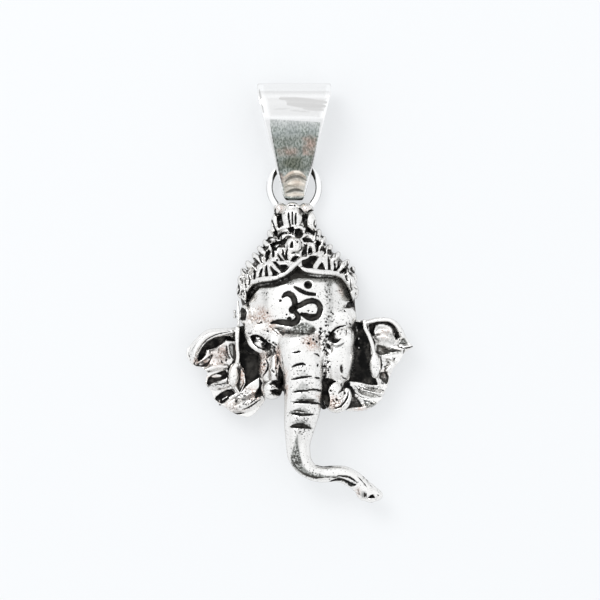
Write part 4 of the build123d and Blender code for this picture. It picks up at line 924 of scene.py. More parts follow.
# Grey tarnish and painted shade on both ears: share
EAR_TARNISH_AND_SHADE = [
    (0.3, [(-11.9, -8.3), (-10.8, -7.95), (-9.8, -7.9), (-9.7, -8.3), (-10.6, -8.35), (-11.7, -8.6)]),
    (0.15, [(-9.9, -2.7), (-9.4, -3.3), (-9.2, -4.3), (-9.5, -5.3), (-10.3, -5.5), (-10.8, -4.4),
            (-10.7, -3.4)]),
    (0.7, [(-9.35, -2.8), (-8.75, -2.7), (-8.5, -4.3), (-8.6, -5.0), (-9.0, -4.6), (-9.3, -3.8)]),
    (0.8, [(-8.0, -7.6), (-7.6, -8.0), (-7.9, -9.2), (-8.6, -8.5)]),
    (0.4, [(-9.2, -12.0), (-8.2, -11.5), (-7.2, -12.0), (-8.2, -12.2)]),
    (0.4, [(10.0, -0.7), (11.2, -0.7), (12.2, -1.6), (12.6, -2.6), (12.2, -2.9), (10.2, -2.4),
           (9.9, -1.6)]),
    (1.0, [(10.0, -3.0), (10.9, -3.15), (12.2, -3.4), (13.3, -3.8), (13.2, -4.1), (12.0, -4.25),
           (10.6, -4.45), (10.0, -4.15)]),
    (0.8, [(13.65, -2.1), (14.3, -2.85), (13.0, -2.95)]),
    (0.15, [(10.9, -4.7), (12.8, -4.6), (12.2, -5.5), (11.0, -6.1)]),
    (0.9, [(10.5, -6.7), (11.4, -6.6), (11.7, -7.3), (11.5, -8.3), (10.9, -7.8), (10.4, -7.3)]),
    (0.9, [(6.7, -9.5), (7.3, -9.8), (8.0, -10.4), (8.3, -11.2), (7.6, -11.3), (6.8, -11.2), (6.5, -10.4)]),
    (0.9, [(8.3, -10.15), (9.2, -10.45), (10.2, -10.7), (9.6, -11.15), (8.9, -11.25), (8.5, -10.8)]),
    (0.4, [(8.2, -8.2), (10.4, -8.4), (10.9, -9.0), (9.0, -8.9)]),
    (0.3, [(7.0, -8.4), (10.8, -9.6), (9.4, -10.0), (7.4, -9.2)]),
]
# Painted sheen that greys the black in the gaps beside the face and in the band's groove: share
GAP_SHEEN = [
    (0.9, [(-5.6, 4.5), (-4.0, 4.9), (-2.2, 5.5), (-0.9, 6.3), (-0.2, 6.9), (0.6, 6.5), (2.4, 6.2),
           (4.4, 6.0), (4.3, 5.7), (2.0, 5.8), (0.0, 5.7), (-1.6, 5.1), (-3.4, 4.5), (-5.2, 4.3)]),
    (0.7, [(4.4, 6.2), (5.5, 5.9), (6.3, 5.0), (6.8, 3.6), (6.9, 2.8), (6.5, 2.8), (6.1, 4.0), (5.5, 4.9),
           (4.4, 5.5)]),
    (0.6, [(-7.0, -4.4), (-5.7, -4.5), (-5.4, -6.6), (-6.1, -7.5), (-6.9, -7.4), (-7.1, -6.0)]),
    (0.5, [(6.9, -5.0), (7.6, -5.2), (7.9, -7.5), (6.6, -7.6), (6.4, -6.4)]),
    (0.35, [(8.3, -6.2), (9.2, -6.9), (9.8, -7.8), (8.4, -7.7)]),
]
# Places rubbed bright again, and in the dark gaps a painted sheen: width, share
RUBBED_AND_SHEEN = [
    (0.34, 1.0, [(-9.3, -8.4), (-8.75, -9.0), (-8.2, -9.65)]), (0.7, 0.75, [(-11.7, -7.1), (-10.5, -7.1)]),
    (1.4, 0.3, [(10.2, -3.7), (11.6, -3.85), (13.2, -3.95)]), (1.0, 0.8, [(13.3, -2.7), (14.2, -2.7)]),
    (0.5, 0.7, [(-10.2, -5.1), (-9.9, -5.3)]), (0.28, 0.9, [(7.72, -2.1), (7.78, -2.25)]),
    (0.28, 0.9, [(7.75, -3.35), (7.8, -3.5)]), (0.34, 0.55, [(7.4, -0.6), (7.6, -1.6)]),
    (2.2, 0.85, [(10.8, -1.5), (11.6, -2.1)]), (0.8, 0.45, [(-13.2, -5.6), (-11.8, -4.7)]),
    (0.14, 0.9, [(-10.7, -10.5), (-9.6, -9.85)]), (0.8, 0.7, [(-7.55, -6.4), (-7.5, -7.6), (-7.85, -8.9)]),
    (0.7, 0.45, [(-6.6, 3.5), (-5.6, 4.75), (-4.0, 5.0), (-2.0, 5.5), (-0.6, 6.3)]),
    (0.9, 0.7, [(-6.7, 1.2), (-6.5, 0.2)]),
    (0.6, 0.5, [(0.4, 6.3), (2.4, 6.05), (4.6, 5.9), (5.8, 5.1), (6.4, 3.9)]),
    (0.7, 0.25, [(-10.4, -9.4), (-9.2, -9.1)]), (1.0, 0.3, [(6.8, -7.2), (9.2, -7.6)]),
    (0.9, 0.25, [(-6.6, -4.4), (-6.2, -6.6)]), (0.9, 0.6, [(8.6, -10.6), (9.6, -10.8)]),
    (1.2, 0.5, [(6.9, -10.0), (7.4, -10.7)]), (0.9, 0.5, [(11.0, -6.9), (11.0, -7.8)]),
    (1.0, 0.6, [(11.2, -5.0), (12.0, -5.4)]),
    (0.9, 0.6, [(4.8, 5.95), (5.6, 5.5), (6.15, 4.7), (6.5, 3.9), (6.7, 3.0)]),
    (1.8, 0.45, [(-7.7, 3.2), (-7.4, 5.6), (-6.2, 7.8), (-4.6, 9.6), (-3.4, 11.2)]),
    (1.8, 0.45, [(7.7, 3.2), (7.0, 5.4), (5.9, 7.4), (4.2, 9.0), (2.8, 10.8)]),
    (0.4, 0.7, [(7.9, -8.3), (9.9, -8.55)]), (0.8, 0.6, [(0.72, 12.9), (0.75, 14.2)]),
    (0.4, 0.5, [(1.2, 6.15), (4.4, 5.95)]),
]
# The strands that hang before the ears: bars by x, y, z and radius, then leaves and beads by centre, size
# and turn in degrees
STRAP_BARS = [
    [(-8.2, 2.7, 2.5, 0.17), (-8.12, 1.2, 2.9, 0.17), (-8.1, -0.1, 3.4, 0.18), (-8.2, -0.9, 3.8, 0.2)],
    [(-8.25, -0.9, 3.9, 0.34), (-8.28, -2.6, 4.2, 0.3), (-8.15, -4.4, 4.2, 0.28), (-8.3, -5.6, 4.0, 0.3)],
    [(-8.7, -8.3, 3.5, 0.22), (-8.0, -9.4, 3.4, 0.16)],
    [(8.5, 0.1, 3.9, 0.3), (8.6, -0.8, 4.1, 0.3), (9.1, -1.8, 4.1, 0.3), (9.5, -3.0, 4.1, 0.28),
     (9.75, -4.2, 4.0, 0.28)],
    [(10.0, -7.0, 3.6, 0.25), (10.5, -8.5, 3.4, 0.14)],
]
STRAP_LUMPS = [
    ((-8.62, 1.35, 2.0), (0.42, 0.6, 1.6), 10), ((-8.6, 0.7, 2.0), (0.5, 0.55, 1.6), -10),
    ((-8.75, -7.0, 3.7), (1.5, 3.2, 1.8), -6), ((9.85, -5.7, 3.8), (1.6, 3.5, 1.8), 0),
]


def shape_ear(name, outline, folds, hollows, lines):
    """A sheet with the ear's outline, folded up along its folds, with hollows and lines pressed into it."""
    corners = curve_through(outline, 0.4)
    bm = bmesh.new()
    rim = [bm.verts.new((x, y, EAR_SEAT)) for x, y in corners]
    edges = [bm.edges.new(pair) for pair in zip(rim, rim[1:] + rim[:1])]
    bmesh.ops.triangle_fill(bm, edges=edges, use_beauty=True)
    sheet = bmesh.ops.extrude_face_region(bm, geom=bm.faces)
    top = [vert for vert in sheet["geom"] if isinstance(vert, bmesh.types.BMVert)]
    bmesh.ops.translate(bm, verts=top, vec=(0, 0, EAR_WALL))
    bmesh.ops.recalc_face_normals(bm, faces=bm.faces)
    wax = Wax(cast([bm], name, EAR_GRAIN))
    wax.relax(4)
    wax.spots[:, 2] += EAR_RISE * np.maximum(np.abs(wax.spots[:, 0]) - EAR_ROOT, 0)
    for width, height, line in folds:
        wax.spots[:, 2] += height * ease(line_depth(wax.plan, line, width / 2, BLUNT))
    wax.face_again()
    for depth, black, corners in hollows:
        wax.patch(corners, depth, wall=0.18, black=black)
    for width, depth, black, line in lines:
        wax.stroke(line, width, depth, wall=0.9, ends=BLUNT, black=black)
    return wax


def shape_left_ear():
    wax = shape_ear("ear_left", LEFT_EAR, LEFT_EAR_FOLDS, LEFT_EAR_HOLLOWS, LEFT_EAR_LINES)
    for centre, size in LEFT_EAR_WARM:
        wax.tint("warm", centre, size)
    wax.tint("warm", (-10.8, -4.8), (3.2, 3.0), 0.4)
    wax.tint("warm", (-8.2, -11.0), (4.0, 2.0), 0.4)
    for centre, size, share in LEFT_EAR_PITTED:
        wax.tint("pitted", centre, size, share)
    return wax


def shape_right_ear():
    wax = shape_ear("ear_right", RIGHT_EAR, RIGHT_EAR_FOLDS, RIGHT_EAR_HOLLOWS, RIGHT_EAR_LINES)
    for centre, size in RIGHT_EAR_WARM:
        wax.tint("warm", centre, size, 0.8)
    for centre, size, share in RIGHT_EAR_PITTED:
        wax.tint("pitted", centre, size, share)
    return wax


def shape_straps():
    parts = [bar(rows) for rows in STRAP_BARS]
    parts += [egg(centre, size, turn) for centre, size, turn in STRAP_LUMPS]
    wax = Wax(cast(parts, "ear_straps", EAR_GRAIN))
    wax.relax(3)
    return wax


# Bail: a tapered strip bent to a teardrop, as in the model. Pairs are for its top and for its end
BAIL_LENGTH = 15.4
BAIL_RADII = (3.6, 1.0)
BAIL_WIDTHS = (9.7, 2.65)
BAIL_WALL = 0.7
# Points of its two arcs, and the longest step between points
BAIL_STEPS = (90, 36)
BAIL_STEP_LENGTH = 0.14
# How far below the top the strip is full wide, how far above its end it draws in, and by what share
BAIL_SHOULDER = 1.6
BAIL_END = 0.6
BAIL_DRAWN_IN = 0.2
# Ring, as in the model
RING_MIDDLE = (-0.781, 17.77, 1.45)
RING_RADIUS = 3.26
RING_WIRE = 0.88
# The strip's front lies above a sloping plane through the loop: a point of that plane, its slope and the
# most height that it asks for
LOOP_MIDDLE = (16.56, 1.2)
LOOP_SLOPE = 0.51
LOOP_MOST = 5.0
# The strip's flat face, greyed by a painted reflection that fades towards the bright top from a height on
BAIL_FACE = [
    (-3.95, 26.6), (-3.8, 25.0), (-3.25, 22.0), (-2.85, 20.0), (-2.4, 18.4), (-2.0, 15.6), (0.5, 15.6),
    (0.65, 17.8), (0.98, 19.0), (1.4, 20.5), (2.08, 23.0), (2.52, 25.0), (2.66, 26.2),
]
BAIL_FACE_SOFT = 0.08
FADE_FROM = 24.8
FADE_LENGTH = 2.0
FADE_SHARE = 0.5
# Dark painted reflections over the bail's end and painted shade along its edges: width, depth, how black
BAIL_BANDS = [
    (0.55, 0.1, 0.62, [(-2.0, 18.4), (-1.3, 18.95), (-0.5, 19.12), (0.2, 19.0), (0.8, 18.6)]),
    (0.35, 0.05, 0.45, [(-0.3, 18.95), (0.4, 18.7)]),
    (0.5, 0.05, 0.35, [(-2.0, 17.7), (-1.2, 17.9), (-0.4, 17.7)]),
    (0.6, 0.12, 0.7, [(-1.85, 17.0), (-1.2, 17.25), (-0.5, 17.4), (0.4, 17.2)]),
    (0.4, 0.0, 0.45, [(-1.9, 16.3), (-0.8, 16.1), (0.45, 16.25)]),
    (0.5, 0.0, 0.9, [(-1.9, 16.3), (-1.6, 16.05)]), (0.45, 0.0, 0.9, [(0.15, 16.05), (0.35, 16.3)]),
    (0.2, 0.06, 0.75, [(2.1, 23.0), (1.7, 21.3), (1.05, 19.2)]),
    (0.26, 0.05, 0.7, [(-3.3, 23.0), (-2.9, 20.8), (-2.3, 17.8)]),
    (0.2, 0.05, 0.6, [(-3.75, 25.4), (-3.45, 23.4)]),
    (0.2, 0.04, 0.4, [(-5.4, 30.6), (-5.0, 28.6), (-4.75, 27.4)]),
]
# Painted reflections that grey the bail's bright top: share, how soft
BAIL_TOP_REFLECTIONS = [
    (0.3, 0.5, [(-4.9, 31.4), (3.6, 31.4), (3.3, 29.0), (-4.6, 29.0)]),
    (0.52, 0.9, [(-4.6, 29.6), (3.3, 29.6), (2.7, 26.8), (-4.0, 26.9)]),
    (0.85, 1.0, [(-2.6, 29.6), (3.4, 29.3), (3.05, 27.7), (0.6, 27.8), (-1.6, 28.3)]),
]
# Its painted streaks of reflection: width, share
BAIL_REFLECTION_STREAKS = [
    (1.1, 0.9, [(-2.6, 29.3), (0.5, 29.1), (3.4, 28.8)]),
    (1.2, 1.0, [(-1.6, 28.6), (1.0, 28.4), (3.2, 28.3)]),
    (0.9, 0.8, [(0.5, 28.0), (2.0, 27.9), (3.0, 27.8)]), (1.6, 0.5, [(-3.6, 28.8), (-1.8, 28.5)]),
    (0.5, 0.7, [(-1.2, 27.75), (1.2, 27.55)]), (0.3, 0.5, [(-3.2, 27.4), (0.0, 27.15), (2.6, 26.95)]),
    (0.5, 0.65, [(-3.4, 27.9), (-1.4, 28.0)]), (0.5, 0.8, [(-5.35, 30.5), (-5.05, 28.9), (-4.8, 27.5)]),
]
# Swellings over the end: width
BAIL_SWELLINGS = [
    (0.9, [(-1.6, 18.1), (-0.5, 18.3), (0.4, 18.2)]),
    (0.6, [(-1.7, 19.2), (-1.0, 19.65), (-0.1, 19.7), (0.7, 19.2)]),
]
# Coppery places: centre, size, share
BAIL_WARM = [
    ((1.25, 23.2), (2.0, 2.6), 1.0), ((-1.5, 22.4), (2.6, 1.5), 0.9), ((-0.4, 18.2), (3.0, 1.6), 0.5),
    ((-0.4, 19.6), (2.6, 0.8), 0.5), ((-0.6, 16.8), (2.4, 0.7), 0.5),
]
# Larger coppery places: share, how soft
BAIL_COPPER = [
    (0.9, 0.5, [(0.3, 24.2), (2.1, 24.2), (1.9, 22.0), (0.4, 21.9)]),
    (0.8, 0.4, [(-3.0, 22.7), (-0.6, 22.9), (-0.5, 22.1), (-2.8, 21.7)]),
    (0.8, 0.4, [(-2.8, 19.6), (-2.2, 19.6), (-1.9, 18.4), (-2.6, 18.2)]),
]
# Grey clouds of the face's painted reflection: centre, size, share, and the greyest part
BAIL_CLOUDS = [
    ((-0.7, 20.9), (5.4, 2.8), 1.0), ((-2.4, 22.8), (1.8, 3.4), 0.8), ((1.5, 21.2), (1.1, 3.6), 0.8),
    ((-2.5, 20.4), (1.2, 1.4), 0.7), ((-0.2, 23.0), (0.9, 1.6), 0.6),
]
BAIL_GREY = [(-4.0, 24.3), (2.6, 24.6), (2.0, 20.0), (-3.0, 20.0)]
# The end, warmed by a painted reflection, and its painted highlight bands: width
BAIL_END_REFLECTION = [
    (-2.3, 18.7), (-1.8, 19.2), (-1.0, 19.65), (0.0, 19.65), (0.7, 19.2), (0.9, 18.7), (0.6, 16.6),
    (-2.0, 16.6),
]
BAIL_END_HIGHLIGHTS = [
    (0.6, [(-2.1, 19.0), (-1.2, 19.62), (-0.2, 19.7), (0.7, 19.1)]),
    (1.1, [(-1.5, 18.2), (-0.5, 18.35), (0.5, 18.1)]), (0.6, [(-1.6, 16.7), (-0.6, 16.85), (0.4, 16.8)]),
]
# Painted shade of the ring beside and under the bail, and along its outer edge: width, how black
RING_PAINTED_SHADE = [
    (1.1, 1.0, [(-2.95, 20.3), (-3.2, 19.3), (-3.4, 18.3)]),
    (1.1, 1.0, [(1.4, 20.3), (1.65, 19.3), (1.85, 18.3)]),
    (0.34, 0.9, [(-3.55, 18.6), (-3.62, 17.8), (-3.45, 16.8), (-2.9, 15.7)]),
    (0.34, 0.9, [(2.0, 18.6), (2.08, 17.8), (1.9, 16.8), (1.35, 15.7)]),
    (0.16, 0.5, [(-4.35, 18.6), (-4.4, 17.4), (-4.1, 16.2), (-3.6, 15.3)]),
    (0.16, 0.5, [(2.8, 18.6), (2.84, 17.4), (2.55, 16.2), (2.0, 15.3)]),
]


def teardrop(inset):
    """Side view of the bail as (y, z) points, from its front over the top, the back and the low end."""
    high, low = BAIL_RADII
    top = BAIL_TOP_Y - high
    end = BAIL_TOP_Y - BAIL_LENGTH + low
    tilt = 2 * math.atan((high - low) / (top - end))
    arcs = ((top, high, tilt, -math.pi), (end, low, -math.pi, tilt - 2 * math.pi))
    corners = []
    for (y, radius, first, last), count in zip(arcs, BAIL_STEPS):
        reach = radius - inset
        for turn in np.linspace(first, last, count):
            corners.append((y - reach * math.sin(turn), radius + reach * math.cos(turn)))
    out = []
    for a, b in zip(corners, corners[1:] + corners[:1]):
        steps = max(1, int(math.dist(a, b) / BAIL_STEP_LENGTH))
        out += [tuple(np.array(a) + (np.array(b) - a) * i / steps) for i in range(steps)]
    return out


def bail_half(y):
    """Half the strip's width at a height, drawn in at its low end."""
    wide, narrow = BAIL_WIDTHS
    above = y - (BAIL_TOP_Y - BAIL_LENGTH)
    share = np.clip(above / (BAIL_LENGTH - BAIL_SHOULDER), 0, 1)
    drawn_in = BAIL_DRAWN_IN * max(0.0, 1 - above / BAIL_END) ** 2
    return (narrow + (wide - narrow) * share) / 2 * (1 - drawn_in)


def bent_strip():
    """The strip as a sheet between two teardrops, stretched to its width."""
    bm = bmesh.new()
    outlines = [teardrop(0), teardrop(BAIL_WALL)]
    count = min(len(outline) for outline in outlines)
    rims = []
    for outline in outlines:
        even = [outline[int(i * len(outline) / count)] for i in range(count)]
        rims.append([bm.verts.new((-1, y, z)) for y, z in even])
    for i in range(count):
        j = (i + 1) % count
        bm.faces.new((rims[0][i], rims[0][j], rims[1][j], rims[1][i]))
    sheet = bmesh.ops.extrude_face_region(bm, geom=bm.faces[:])
    far = [vert for vert in sheet["geom"] if isinstance(vert, bmesh.types.BMVert)]
    bmesh.ops.translate(bm, verts=far, vec=(2, 0, 0))
    for vert in bm.verts:
        vert.co.x = BAIL_MIDDLE_X + vert.co.x * bail_half(vert.co.y)
    bmesh.ops.recalc_face_normals(bm, faces=bm.faces)
    return bm


def shape_bail():
    wax = Wax(cast([bent_strip()], "bail_strip", BAIL_GRAIN))
    wax.relax(6)
    y, z = wax.spots[:, 1], wax.spots[:, 2]
    above = z > np.minimum(LOOP_SLOPE * (y - LOOP_MIDDLE[0]) + LOOP_MIDDLE[1], LOOP_MOST)
    wax.front *= above & (z > LOOP_MIDDLE[1])
    fade = 1 - FADE_SHARE * ease((y - FADE_FROM) / FADE_LENGTH)
    # Where the flat face's painted reflection lies
    face_reflection = ease(patch_depth(wax.plan, BAIL_FACE, BAIL_FACE_SOFT) + COVER_MARGIN)
    wax.marks["face_reflection"] = np.where(above, face_reflection, 0) * fade
    for share, soft, corners in BAIL_TOP_REFLECTIONS:
        wax.cover("tarnish_and_shade", corners, share, soft)
    for width, share, line in BAIL_REFLECTION_STREAKS:
        wax.shade("tarnish_and_shade", line, width, share)
    for width, depth, black, line in BAIL_BANDS:
        wax.stroke(line, width, depth, wall=0.8, ends=BLUNT, black=black)
    for width, line in BAIL_SWELLINGS:
        wax.stroke(line, width, depth=-0.12)
    colour_bail(wax)
    return wax


def colour_bail(wax):
    for centre, size, share in BAIL_WARM:
        wax.tint("warm", centre, size, share)
    for share, soft, corners in BAIL_COPPER:
        wax.cover("warm", corners, share, soft)
    for centre, size, share in BAIL_CLOUDS:
        wax.tint("tarnish_and_shade", centre, size, share)
    wax.cover("tarnish_and_shade", BAIL_GREY, share=0.5, soft=0.9)
    wax.cover("end_reflection", BAIL_END_REFLECTION, share=0.55)
    for width, line in BAIL_END_HIGHLIGHTS:
        wax.shade("end_reflection", line, width)


def shape_ring():
    bm = bmesh.new()
    x, y, z = RING_MIDDLE
    place = Matrix.Translation((x + RING_RADIUS, y, z)) @ Matrix.Rotation(math.pi / 2, 4, "X")
    bmesh.ops.create_circle(bm, segments=40, radius=RING_WIRE / 2, matrix=place)
    bmesh.ops.spin(bm, geom=bm.verts[:] + bm.edges[:], axis=(0, 0, 1), cent=(x, y, z), angle=2 * math.pi,
                   steps=200, use_merge=True)
    bmesh.ops.recalc_face_normals(bm, faces=bm.faces)
    wax = Wax(linked(bm, "ring_wire"))
    for width, black, line in RING_PAINTED_SHADE:
        wax.stroke(line, width, depth=0.0, ends=BROAD, black=black)
    wax.tint("warm", (-3.95, 18.6), (0.9, 1.4))
    wax.tint("warm", (-3.3, 15.4), (1.2, 1.4))
    return wax


# Recesses stay black: what lies lower than the skin around it, and hollows of the skin itself
GRID_STEP = 0.15
GRID_MARGIN = 2
# How far round a point the skin is compared, in steps
AROUND = (3, 7)
# How steeply the skin around has to rise, and how much more makes it fully black
LEAST_RISE = 0.55
RISE_SPAN = 0.7
# How often the skin is smoothed to find its own hollows, how deep they have to be, how much more makes them
# darkest, and how dark that is
HOLLOW_ROUNDS = 4
LEAST_HOLLOW = 0.018
HOLLOW_SPAN = 0.05
HOLLOW_SHARE = 0.8
# Points that face down more than this aren't recesses
UNDERSIDE = -0.3


def blur(grid, reach):
    """Mean over a square of that reach in cells, by running sums."""
    for axis in (0, 1):
        wide = np.concatenate([np.repeat(np.take(grid, [0], axis), reach + 1, axis), grid,
                               np.repeat(np.take(grid, [-1], axis), reach, axis)], axis)
        total = np.cumsum(wide, axis)
        span = 2 * reach + 1
        ahead = np.take(total, range(span, total.shape[axis]), axis)
        behind = np.take(total, range(0, total.shape[axis] - span), axis)
        grid = (ahead - behind) / span
    return grid


def blacken_recesses(waxes):
    """Marks as black what the casting's own skin stands above, all round."""
    every = np.vstack([wax.spots for wax in waxes])
    low = every[:, :2].min(0) - GRID_MARGIN
    size = np.ceil((every[:, :2].max(0) + GRID_MARGIN - low) / GRID_STEP).astype(int)
    tops = np.zeros(size)
    np.maximum.at(tops, tuple(((every[:, :2] - low) / GRID_STEP).astype(int).T), every[:, 2])
    around = [(reach, blur(blur(tops, reach), reach)) for reach in AROUND]
    for wax in waxes:
        cells = tuple(((wax.plan - low) / GRID_STEP).astype(int).T)
        sunk = np.zeros(len(wax.spots))
        for reach, mean in around:
            rise = (mean[cells] - wax.spots[:, 2]) / (reach * GRID_STEP)
            sunk = np.maximum(sunk, ease((rise - LEAST_RISE) / RISE_SPAN))
        smooth = wax.spots
        for _ in range(HOLLOW_ROUNDS):
            smooth = wax.spread(smooth)
        hollow = ((smooth - wax.spots) * wax.facing).sum(1)
        wax.mark("black", sunk * (wax.facing[:, 2] > UNDERSIDE))
        wax.mark("black", ease((hollow - LEAST_HOLLOW) / HOLLOW_SPAN) * HOLLOW_SHARE)


# Colours of cast silver, from dark to pale where there are two
SILVER = [(0.82, 0.808, 0.785, 1), (0.915, 0.902, 0.882, 1)]
# Greys of tarnish and of painted shade
TARNISH_AND_SHADE_GREYS = [(0.05, 0.055, 0.05, 1), (0.36, 0.37, 0.35, 1)]
COPPER = (0.62, 0.44, 0.36, 1)
SOOT = [(0.007, 0.007, 0.007, 1), (0.1, 0.094, 0.085, 1)]
# Painted shade of both silvers where they turn away
EDGE_SHADE = (0.2, 0.18, 0.16, 1)
# Colours of the polished strip and the ring, from dark to pale where there are two; besides the clean
# silver and the pink, they are painted reflections and painted shade
CLEAN = [(0.96, 0.96, 0.955, 1), (0.99, 0.985, 0.98, 1)]
TOP_REFLECTION_GREY = (0.56, 0.55, 0.54, 1)
FACE_REFLECTION_GREYS = [(0.235, 0.27, 0.245, 1), (0.6, 0.64, 0.615, 1)]
FACE_REFLECTION_CLOUD = (0.36, 0.39, 0.39, 1)
FACE_REFLECTION_OLIVES = [(0.085, 0.1, 0.075, 1), (0.22, 0.235, 0.19, 1)]
PINK = [(0.3, 0.24, 0.2, 1), (0.62, 0.48, 0.42, 1)]
CREAM = [(0.66, 0.56, 0.47, 1), (0.95, 0.88, 0.78, 1)]
# Black of painted shade on the strip and the ring
PAINTED_SHADE_BLACK = (0.02, 0.02, 0.016, 1)
# Cast silver's finish where it is clean and where it is black
CAST_FINISH = (("Roughness", 0.26, 0.6), ("Metallic", 1.0, 0.3), ("Specular IOR Level", 0.5, 0.1))
# What the patina group reads from each point, and what it puts out
PATINA_MARKS = ("Black", "Pitted", "Warm", "Tarnish_and_shade")
PATINA_OUT = (("Mask", "NodeSocketFloat"), ("Color", "NodeSocketColor"), ("Height", "NodeSocketFloat"))
# The sockets of a Mix node that colours use: share, first, second, and what it puts out
MIX_SOCKETS = (0, 6, 7)
MIX_OUT = 2


class Nodes:
    """Adds nodes to one material, group or world, and gives back the sockets that they put out."""

    def __init__(self, tree):
        self.tree = tree

    def feed(self, socket, value):
        """Sets a socket to a number or a colour, or links it to another socket."""
        if isinstance(value, (int, float, tuple)):
            socket.default_value = value
        else:
            self.tree.links.new(value, socket)

    def add(self, kind, **values):
        """A node with its inputs and settings, by name."""
        node = self.tree.nodes.new(kind)
        for name, value in values.items():
            if name in node.inputs:
                self.feed(node.inputs[name], value)
            else:
                setattr(node, name, value)
        return node

    def noise(self, place, scale, detail):
        return self.add("ShaderNodeTexNoise", Vector=place, Scale=scale, Detail=detail).outputs["Fac"]

    def attribute(self, name):
        return self.add("ShaderNodeAttribute", attribute_name=name.lower()).outputs["Fac"]

    def maths(self, operation, *values):
        node = self.add("ShaderNodeMath", operation=operation)
        for socket, value in zip(node.inputs, values):
            self.feed(socket, value)
        return node.outputs[0]

    def ramp(self, value, low, high, least=0.0, most=1.0, step="SMOOTHSTEP"):
        """Goes from least to most while the value goes from low to high."""
        node = self.add("ShaderNodeMapRange", interpolation_type=step, Value=value)
        for name, number in (("From Min", low), ("From Max", high), ("To Min", least), ("To Max", most)):
            node.inputs[name].default_value = number
        return node.outputs["Result"]

    def mix(self, share, a, b):
        node = self.add("ShaderNodeMix", data_type="RGBA")
        for socket, value in zip(MIX_SOCKETS, (share, a, b)):
            self.feed(node.inputs[socket], value)
        return node.outputs[MIX_OUT]

    def bump(self, height, strength, distance):
        node = self.add("ShaderNodeBump", Height=height, Strength=strength, Distance=distance)
        return node.outputs["Normal"]


def new_material(name):
    material = bpy.data.materials.new(name)
    material.use_nodes = True
    tree = material.node_tree
    return material, Nodes(tree), tree.nodes["Principled BSDF"].inputs


def make_patina_group():
    """Cast silver's colour from the marks: black with a broken edge, specks, grey tarnish and painted shade,
    a painted sheen in the black, and a warm tint.
    """
    group = bpy.data.node_groups.new("patina", "ShaderNodeTree")
    for name in PATINA_MARKS:
        group.interface.new_socket(name, in_out="INPUT", socket_type="NodeSocketFloat")
    for name, kind in PATINA_OUT:
        group.interface.new_socket(name, in_out="OUTPUT", socket_type=kind)
    nodes = Nodes(group)
    ramp, mix, maths = nodes.ramp, nodes.mix, nodes.maths
    enter = nodes.add("NodeGroupInput").outputs
    black, pitted, warm, tarnish_and_shade = [enter[name] for name in PATINA_MARKS]
    place = nodes.add("ShaderNodeTexCoord").outputs["Object"]
    breakup = nodes.noise(place, scale=2600.0, detail=3.0)
    specks = nodes.noise(place, scale=4200.0, detail=2.0)
    cloud = nodes.noise(place, scale=420.0, detail=3.0)
    smoke = nodes.noise(place, scale=1100.0, detail=2.0)

    recess = ramp(maths("MULTIPLY_ADD", maths("SUBTRACT", breakup, 0.5), 0.8, black), 0.28, 0.6)
    speck = ramp(maths("MULTIPLY_ADD", pitted, 0.15, specks), 0.62, 0.72)
    mask = maths("MAXIMUM", recess, maths("MULTIPLY", speck, 0.9))
    veins = maths("MULTIPLY", ramp(cloud, 0.3, 0.55), ramp(specks, 0.3, 0.6))

    pale = mix(ramp(breakup, 0.3, 0.45), *SILVER)
    tarnish_and_shade_grey = mix(ramp(breakup, 0.38, 0.62), *TARNISH_AND_SHADE_GREYS)
    # Grey of tarnish and of painted shade where that mark lies
    dulled = mix(maths("MULTIPLY", tarnish_and_shade, ramp(specks, 0.2, 0.5)), pale, tarnish_and_shade_grey)
    warmed = mix(maths("MULTIPLY", warm, veins), dulled, COPPER)
    warmed = mix(maths("MULTIPLY", tarnish_and_shade, 0.7), warmed, dulled)
    grey = maths("MULTIPLY", ramp(smoke, 0.4, 0.75), ramp(specks, 0.25, 0.6))
    # In the black, the grey mark is a painted sheen that lightens the soot
    sheen_in_black = maths("MULTIPLY", tarnish_and_shade, ramp(smoke, 0.25, 0.6))
    soot = mix(maths("MAXIMUM", grey, sheen_in_black), *SOOT)

    leave = nodes.add("NodeGroupOutput").inputs
    nodes.feed(leave["Mask"], mask)
    nodes.feed(leave["Color"], mix(mask, warmed, soot))
    nodes.feed(leave["Height"], maths("MULTIPLY_ADD", mask, -0.6, breakup))
    return group


def paint_edge_shade(nodes, colour, most):
    """Painted shade where the surface turns away, which thinly outlines each form."""
    facing = nodes.add("ShaderNodeLayerWeight", Blend=0.5).outputs["Facing"]
    return nodes.mix(nodes.ramp(facing, 0.6, 0.95, most=most), colour, EDGE_SHADE)


def make_cast_silver(patina):
    """Silver that is bright on the high places and blackened in the recesses."""
    material, nodes, shader = new_material("cast_silver")
    marks = nodes.add("ShaderNodeGroup", node_tree=patina)
    for name in PATINA_MARKS:
        nodes.feed(marks.inputs[name], nodes.attribute(name))
    nodes.feed(shader["Base Color"], paint_edge_shade(nodes, marks.outputs["Color"], most=0.55))
    for name, clean, black in CAST_FINISH:
        nodes.feed(shader[name], nodes.ramp(marks.outputs["Mask"], 0.0, 1.0, clean, black, step="LINEAR"))
    nodes.feed(shader["Normal"], nodes.bump(marks.outputs["Height"], strength=0.35, distance=0.00004))
    return material


